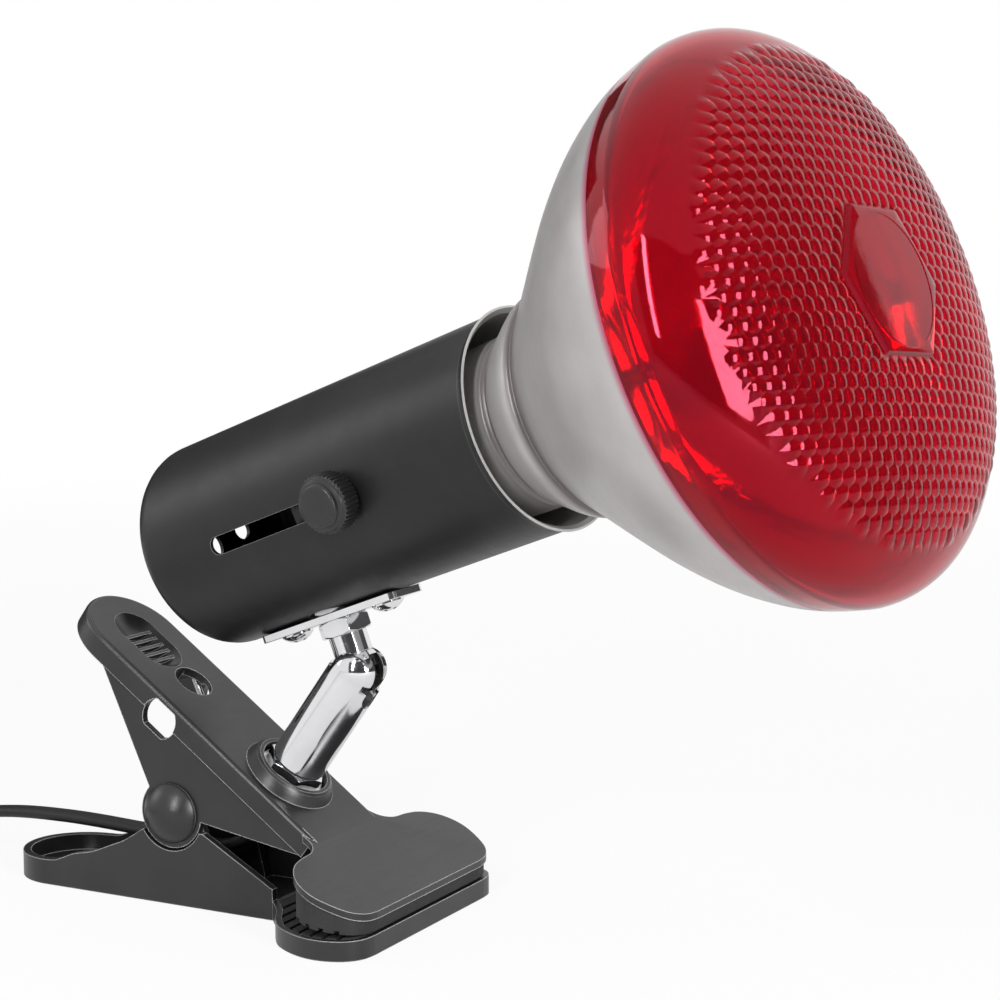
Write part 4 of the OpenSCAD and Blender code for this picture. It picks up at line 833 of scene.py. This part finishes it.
def build_lens():
    """Red pressed glass: dimples over most of the dome, a bare pad in the middle and a clear rim."""
    lens = join(build_dimples(), *build_pad())
    lens.name = lens.data.name = "bulb_lens_glass"
    bridge_between(lens, PAD_LINE - 0.6, PAD_FLAT + 2, above=PAD_RISE - 0.05)
    bridge_between(lens, PAD_FLAT - 0.4, PAD_FLAT + 8)
    # laid flat so far, with heights in z: now bent over the dome
    for vertex in lens.data.vertices:
        x, y, rise = vertex.co
        r = math.hypot(x, y)
        base = dome_t(r)
        slope = (dome_t(r + 0.1) - base) / 0.1
        out = Vector((-slope, 1)).normalized()
        a = math.atan2(y, x) + math.radians(DIMPLE_TURN)
        reach = r + rise * out.x
        vertex.co = Vector((reach * math.cos(a), reach * math.sin(a), base + rise * out.y))
    edge_angle = math.degrees(math.acos(((FIELD_R + CLEAR_GAP) / BULB_R) ** (SIDE_POWER / 2)))
    clear_edge = list(reversed(dome_outline(BULB_R, DOME_H, 10, edge_angle)))
    side = flare[red_edge:-1]
    skin = clear_edge + side[::-1] + [(t + SKIN_SHIFT, r - GLASS) for t, r in side]
    skin += dome_outline(BULB_R - GLASS, DOME_H - GLASS, 22)
    shell = lathe("lens_shell", [(t / MM, r / MM) for t, r in skin], BULB_STEPS, place=None)
    for vertex in shell.data.vertices:
        t, y, z = vertex.co
        vertex.co = Vector((y, z, t))
    join(lens, shell)
    bridge_between(lens, FIELD_R - 3, FIELD_R + CLEAR_GAP + 0.2)
    for vertex in lens.data.vertices:
        y, z, t = vertex.co
        vertex.co = Vector((t, y, z)) * MM
    close_up(lens, triangles=True)
    settle(lens, lamp_place)
    carried(smooth(lens, 26), "bulb_lens")


build_reflector()
build_lens()


# Hard parts with their edges rounded over

def softened(node, name, width, segments):
    """A merged copy of a hard-edged part, with its edges rounded over by width mm."""
    piece = nodes[node].copy()
    piece.data = nodes[node].data.copy()
    bpy.context.collection.objects.link(piece)
    piece.parent = None
    piece.matrix_world = Matrix.Identity(4)
    piece.name = piece.data.name = name
    bpy.context.tool_settings.mesh_select_mode = (True, False, False)
    enter_edit(piece)
    bpy.ops.mesh.select_all(action="SELECT")
    bpy.ops.mesh.customdata_custom_splitnormals_clear()
    bpy.ops.mesh.remove_doubles(threshold=MM / 250)
    bpy.ops.mesh.dissolve_limited(angle_limit=math.radians(0.4))
    leave_edit()
    bevel = piece.modifiers.new("round over", "BEVEL")
    bevel.width = width * MM
    bevel.segments = segments
    bevel.limit_method = "ANGLE"
    bevel.angle_limit = math.radians(30)
    bevel.use_clamp_overlap = True
    bevel.harden_normals = False
    weighted = piece.modifiers.new("flat faces first", "WEIGHTED_NORMAL")
    weighted.keep_sharp = True
    smooth(piece, 35)
    apply_all(piece)
    return carried(piece, node)


ROUNDED = {
    "lower_jaw": ("clamp_lower_jaw", 0.35, 3), "upper_jaw": ("clamp_upper_jaw", 0.22, 3),
    "lower_pad": ("lower_grip_pad", 0.3, 2), "upper_pad": ("upper_grip_pad", 0.6, 3),
    "pivot_cap_near": ("hinge_cap_near", 0.4, 2), "pivot_cap_far": ("hinge_cap_far", 0.4, 2),
    "cord_clamp": ("cord_saddle", 0.4, 2), "arm_washer": ("bright_washer", 0.25, 2),
    "stud_washer": ("under_washer", 0.2, 2), "arm_tube": ("swing_arm_tube", 0.16, 2),
    "arm_nut": ("arm_lock_nut", 0.2, 2), "stem_nut": ("stem_hex_nut", 0.2, 2),
    "stem_lock_nut": ("inner_lock_nut", 0.2, 2), "swivel_stem": ("swivel_stem_rod", 0.15, 2),
    "bracket_strip": ("bracket_plate", 0.3, 2), "bracket_screws": ("plate_screws", 0.15, 2),
    "thumb_knob": ("thumb_wheel", 0.14, 2), "lamp_cylinder": ("lamp_cup", 0.16, 2),
    "lampholder": ("ceramic_holder", 0.5, 2), "holder_bracket": ("holder_carrier", 0.2, 2),
    "switch_base": ("switch_lower_half", 0.7, 3), "switch_cover": ("switch_upper_half", 0.7, 3),
    "switch_rocker": ("switch_rocker_key", 0.35, 2), "plug_body": ("mains_plug", 0.9, 3),
    "plug_pins": ("mains_plug_pins", 0.3, 2)}  # name, width in mm and steps of the rounding
rounded = {node: softened(node, *how) for node, how in ROUNDED.items()}


def line_cup(cup):
    """Bare silver on the cylinder's inner wall and on its front rim, with painted shade darkening the wall deeper in.
    """
    cup.data.materials.append(bare_silver)
    for face in cup.data.polygons:
        at = face.center - mouth
        along = at.dot(lamp_axis)
        inner_wall = face.normal.dot((at - along * lamp_axis).normalized()) < -0.5
        rim = face.normal.dot(lamp_axis) > 0.35 and along > -0.8 * MM
        face.material_index = 1 if inner_wall or rim else 0


def build_knob_face():
    """The thumb screw's domed middle, with a narrow groove left between it and the knurled rim."""
    base = place_of("thumb_turn")
    face = max((v.co - base).dot(knob_axis) for v in rounded["thumb_knob"].data.vertices) / MM
    foot, brim, wide, chamfer, high = face - 1.0, face - 0.25, 5.1, 0.12, 0.75
    shoulder = face - 0.05
    outline = [(foot, 0), (foot, wide), (brim, wide), (shoulder, wide - chamfer)]
    outline += [(shoulder + high * math.sin(a), (wide - chamfer) * math.cos(a))
                for a in (math.radians(9 * k) for k in range(1, 10))]
    outline.append((shoulder + high, 0))
    piece = lathe("thumb_wheel_face", outline, 72, knob_place)
    smooth(coat(piece, knob_nylon), 35)
    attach(piece, "thumb_screw")


line_cup(rounded["lamp_cylinder"])
# painted reflection on the washer in the arm's collar
coat(rounded["arm_washer"], painted_reflection_disc)
# painted shade: the carrier seen through the slot is darkened as if shaded
coat(rounded["holder_bracket"], painted_shade_steel)
coat(rounded["thumb_knob"], knob_nylon)
build_knob_face()


# Wires and springs

def run_through(points):
    return [tuple(p) for p in eased([Vector(p) for p in points], 5)]


pivot = place_of("jaw_hinge")
pivot_place = Matrix.Translation(pivot)
slope = math.asin(arm_axis.x)
ARM_S, TOP_N, TOP_PLATE, PIVOT_Z, JAW_FLOOR = 15, 22.3, 2.2, 17.5, 2.2
SPRING_R, SPRING_WIRE, SPRING_PITCH, SPRING_GAP, LEG_LOW_X, LEG_UP_S = 5.2, 1.6, 2.7, 0.1, -34.2, -37.5
leg_low = Vector((LEG_LOW_X, FLOOR_Z + JAW_FLOOR + SPRING_WIRE / 2 + SPRING_GAP - PIVOT_Z))
leg_s, leg_n = LEG_UP_S + ARM_S, TOP_N - TOP_PLATE - SPRING_WIRE / 2 - SPRING_GAP
leg_up = Vector((leg_s * math.cos(slope) + leg_n * math.sin(slope),
                 -leg_s * math.sin(slope) + leg_n * math.cos(slope)))
turn_from = math.atan2(leg_low.y, leg_low.x) + math.tau + math.acos(SPRING_R / leg_low.length)
turn_to = math.atan2(leg_up.y, leg_up.x) - math.acos(SPRING_R / leg_up.length) + 6 * math.tau
curls = (turn_to - turn_from) / math.tau
spring_y = SPRING_PITCH * curls / 2
spring_steps = math.ceil(curls * 24)


def on_curl(a):
    return Vector((SPRING_R * math.cos(a), SPRING_R * math.sin(a)))


def leg(start_at, end_at, y):
    """Five points along a straight leg of the spring, which lies in a plane across the pin."""
    return [(at.x, y, at.y) for at in (start_at.lerp(end_at, k / 4) for k in range(5))]


spring = leg(leg_low, leg_low.lerp(on_curl(turn_from), 0.9), -spring_y)
for k in range(spring_steps + 1):
    share = k / spring_steps
    at = on_curl(turn_from + (turn_to - turn_from) * share)
    spring.append((at.x, -spring_y + 2 * spring_y * share, at.y))
spring += leg(leg_up.lerp(on_curl(turn_to), 0.9), leg_up, spring_y)
spanning(wire("clamp_spring_wire", spring, SPRING_WIRE, pivot_place), "root", "upper_jaw",
         pivot + Vector((0, -spring_y, 0)) * MM, pivot + Vector((0, spring_y, 0)) * MM, "clamp_spring")

STUD_LOW, BALL_N, LEAD_D = 9.5, 33.7, 3.4
stud_end = arm_place @ Vector((0, 0, -STUD_LOW * MM)) / MM
lead_in = [(-54, 0, 8.2), (-51, 0, 7.9), (-46, 0, 7.2), (-40, 0, 7.4), (-35, 0, 9.3), (-31.2, 0, 12.8),
           tuple(stud_end - 2.8 * arm_axis), tuple(stud_end - 0.3 * arm_axis)]
spanning(wire("lead_in_clamp", run_through(lead_in), CORD_H), "root", "upper_jaw",
         (-0.050, 0, 0.0078), (-0.031, 0, 0.0128), "lead_jaw")
lead_down = [(5.5, 0, -3.3), (5, 0, -4.8), (3.7, 0, -6.9), (2.5, 0, -9.2), (1.3, 0, -11.8), (0.3, 0, -14.6),
             (0, 0, -17.6), (0, 0, -24), (0, 0, -34), (0, 0, -BALL_N - STUD_LOW)]
spanning(wire("lead_in_arm", run_through(lead_down), LEAD_D, socket_place), "arm", "stem",
         socket_place @ (Vector((0.3, 0, -14.6)) * MM), socket_place @ (Vector((5, 0, -4.8)) * MM), "lead_arm")
CYL_LOW, AXIS_H, LOCK_NUT_H = 14.7, 39.7, 3.4
stem_top = CYL_LOW + 0.05 + LOCK_NUT_H + 1
carried(wire("lead_in_stem", [(0, 0, z) for z in (-2.4, 2, stem_top - 3, stem_top - 0.4)], LEAD_D, stem_place),
        "lead_stem")
lead_up = [(0, 0, stem_top + 0.3), (0, 0, stem_top + 2.5), (0.8, 0, stem_top + 6.5), (4, 0, stem_top + 10.5),
           (7.2, 0, AXIS_H - 1), (9.6, 0, AXIS_H - 0.2), (11.5, 0, AXIS_H)]
spanning(wire("lead_in_cup", run_through(lead_up), LEAD_D, head_place), "head", "holder",
         head_place @ (Vector((0.8, 0, stem_top + 6.5)) * MM), head_place @ (Vector((10.5, 0, AXIS_H)) * MM),
         "lead_cylinder")

SEAT_WIRE, SEAT_R, SEAT_CURLS, SEAT_STEPS = 1.0, 5.2, 6, 28
seat_z = [(socket_place.inverted() @ v.co).z / MM for v in nodes["seat_spring"].data.vertices]
z_from, z_to = min(seat_z) + SEAT_WIRE / 2, max(seat_z) - SEAT_WIRE / 2
seat = [(SEAT_R * math.cos(a), SEAT_R * math.sin(a), z_from + (z_to - z_from) * a / (SEAT_CURLS * math.tau))
        for a in (k * math.tau / SEAT_STEPS for k in range(SEAT_CURLS * SEAT_STEPS + 1))]
carried(wire("ball_seat_spring", seat, SEAT_WIRE, socket_place), "seat_spring")

HOLDER_BACK, TERMINAL_Y = -55.9, 8
wires = []
for side in (-1, 1):
    route = [(HOLDER_BACK + 1.1, TERMINAL_Y, side * 3.6), (HOLDER_BACK - 1.4, TERMINAL_Y - 0.1, side * 3.6),
             (HOLDER_BACK - 3.3, TERMINAL_Y - 1.6, side * 3), (HOLDER_BACK - 4.3, TERMINAL_Y - 4, side * 2.1),
             (HOLDER_BACK - 4.5, 2, side * 1.3), (HOLDER_BACK - 4.5, 0.6, side * 1.1)]
    wires.append(wire("holder_wire_sleeves", run_through(route), 1.8, slot_place))
carried(join(*wires), "holder_wires")

FILAMENT_AT, FILAMENT_R, FILAMENT_LEN, FILAMENT_CURLS, FILAMENT_STEPS = 22, 1.1, 11.4, 10, 16
filament = [(FILAMENT_AT + FILAMENT_R * math.cos(a), FILAMENT_LEN * (a / (FILAMENT_CURLS * math.tau) - 0.5),
             FILAMENT_R * math.sin(a))
            for a in (k * math.tau / FILAMENT_STEPS for k in range(FILAMENT_CURLS * FILAMENT_STEPS + 1))]
carried(wire("filament_coil", filament, 0.4, lamp_place, sides=1), "filament")
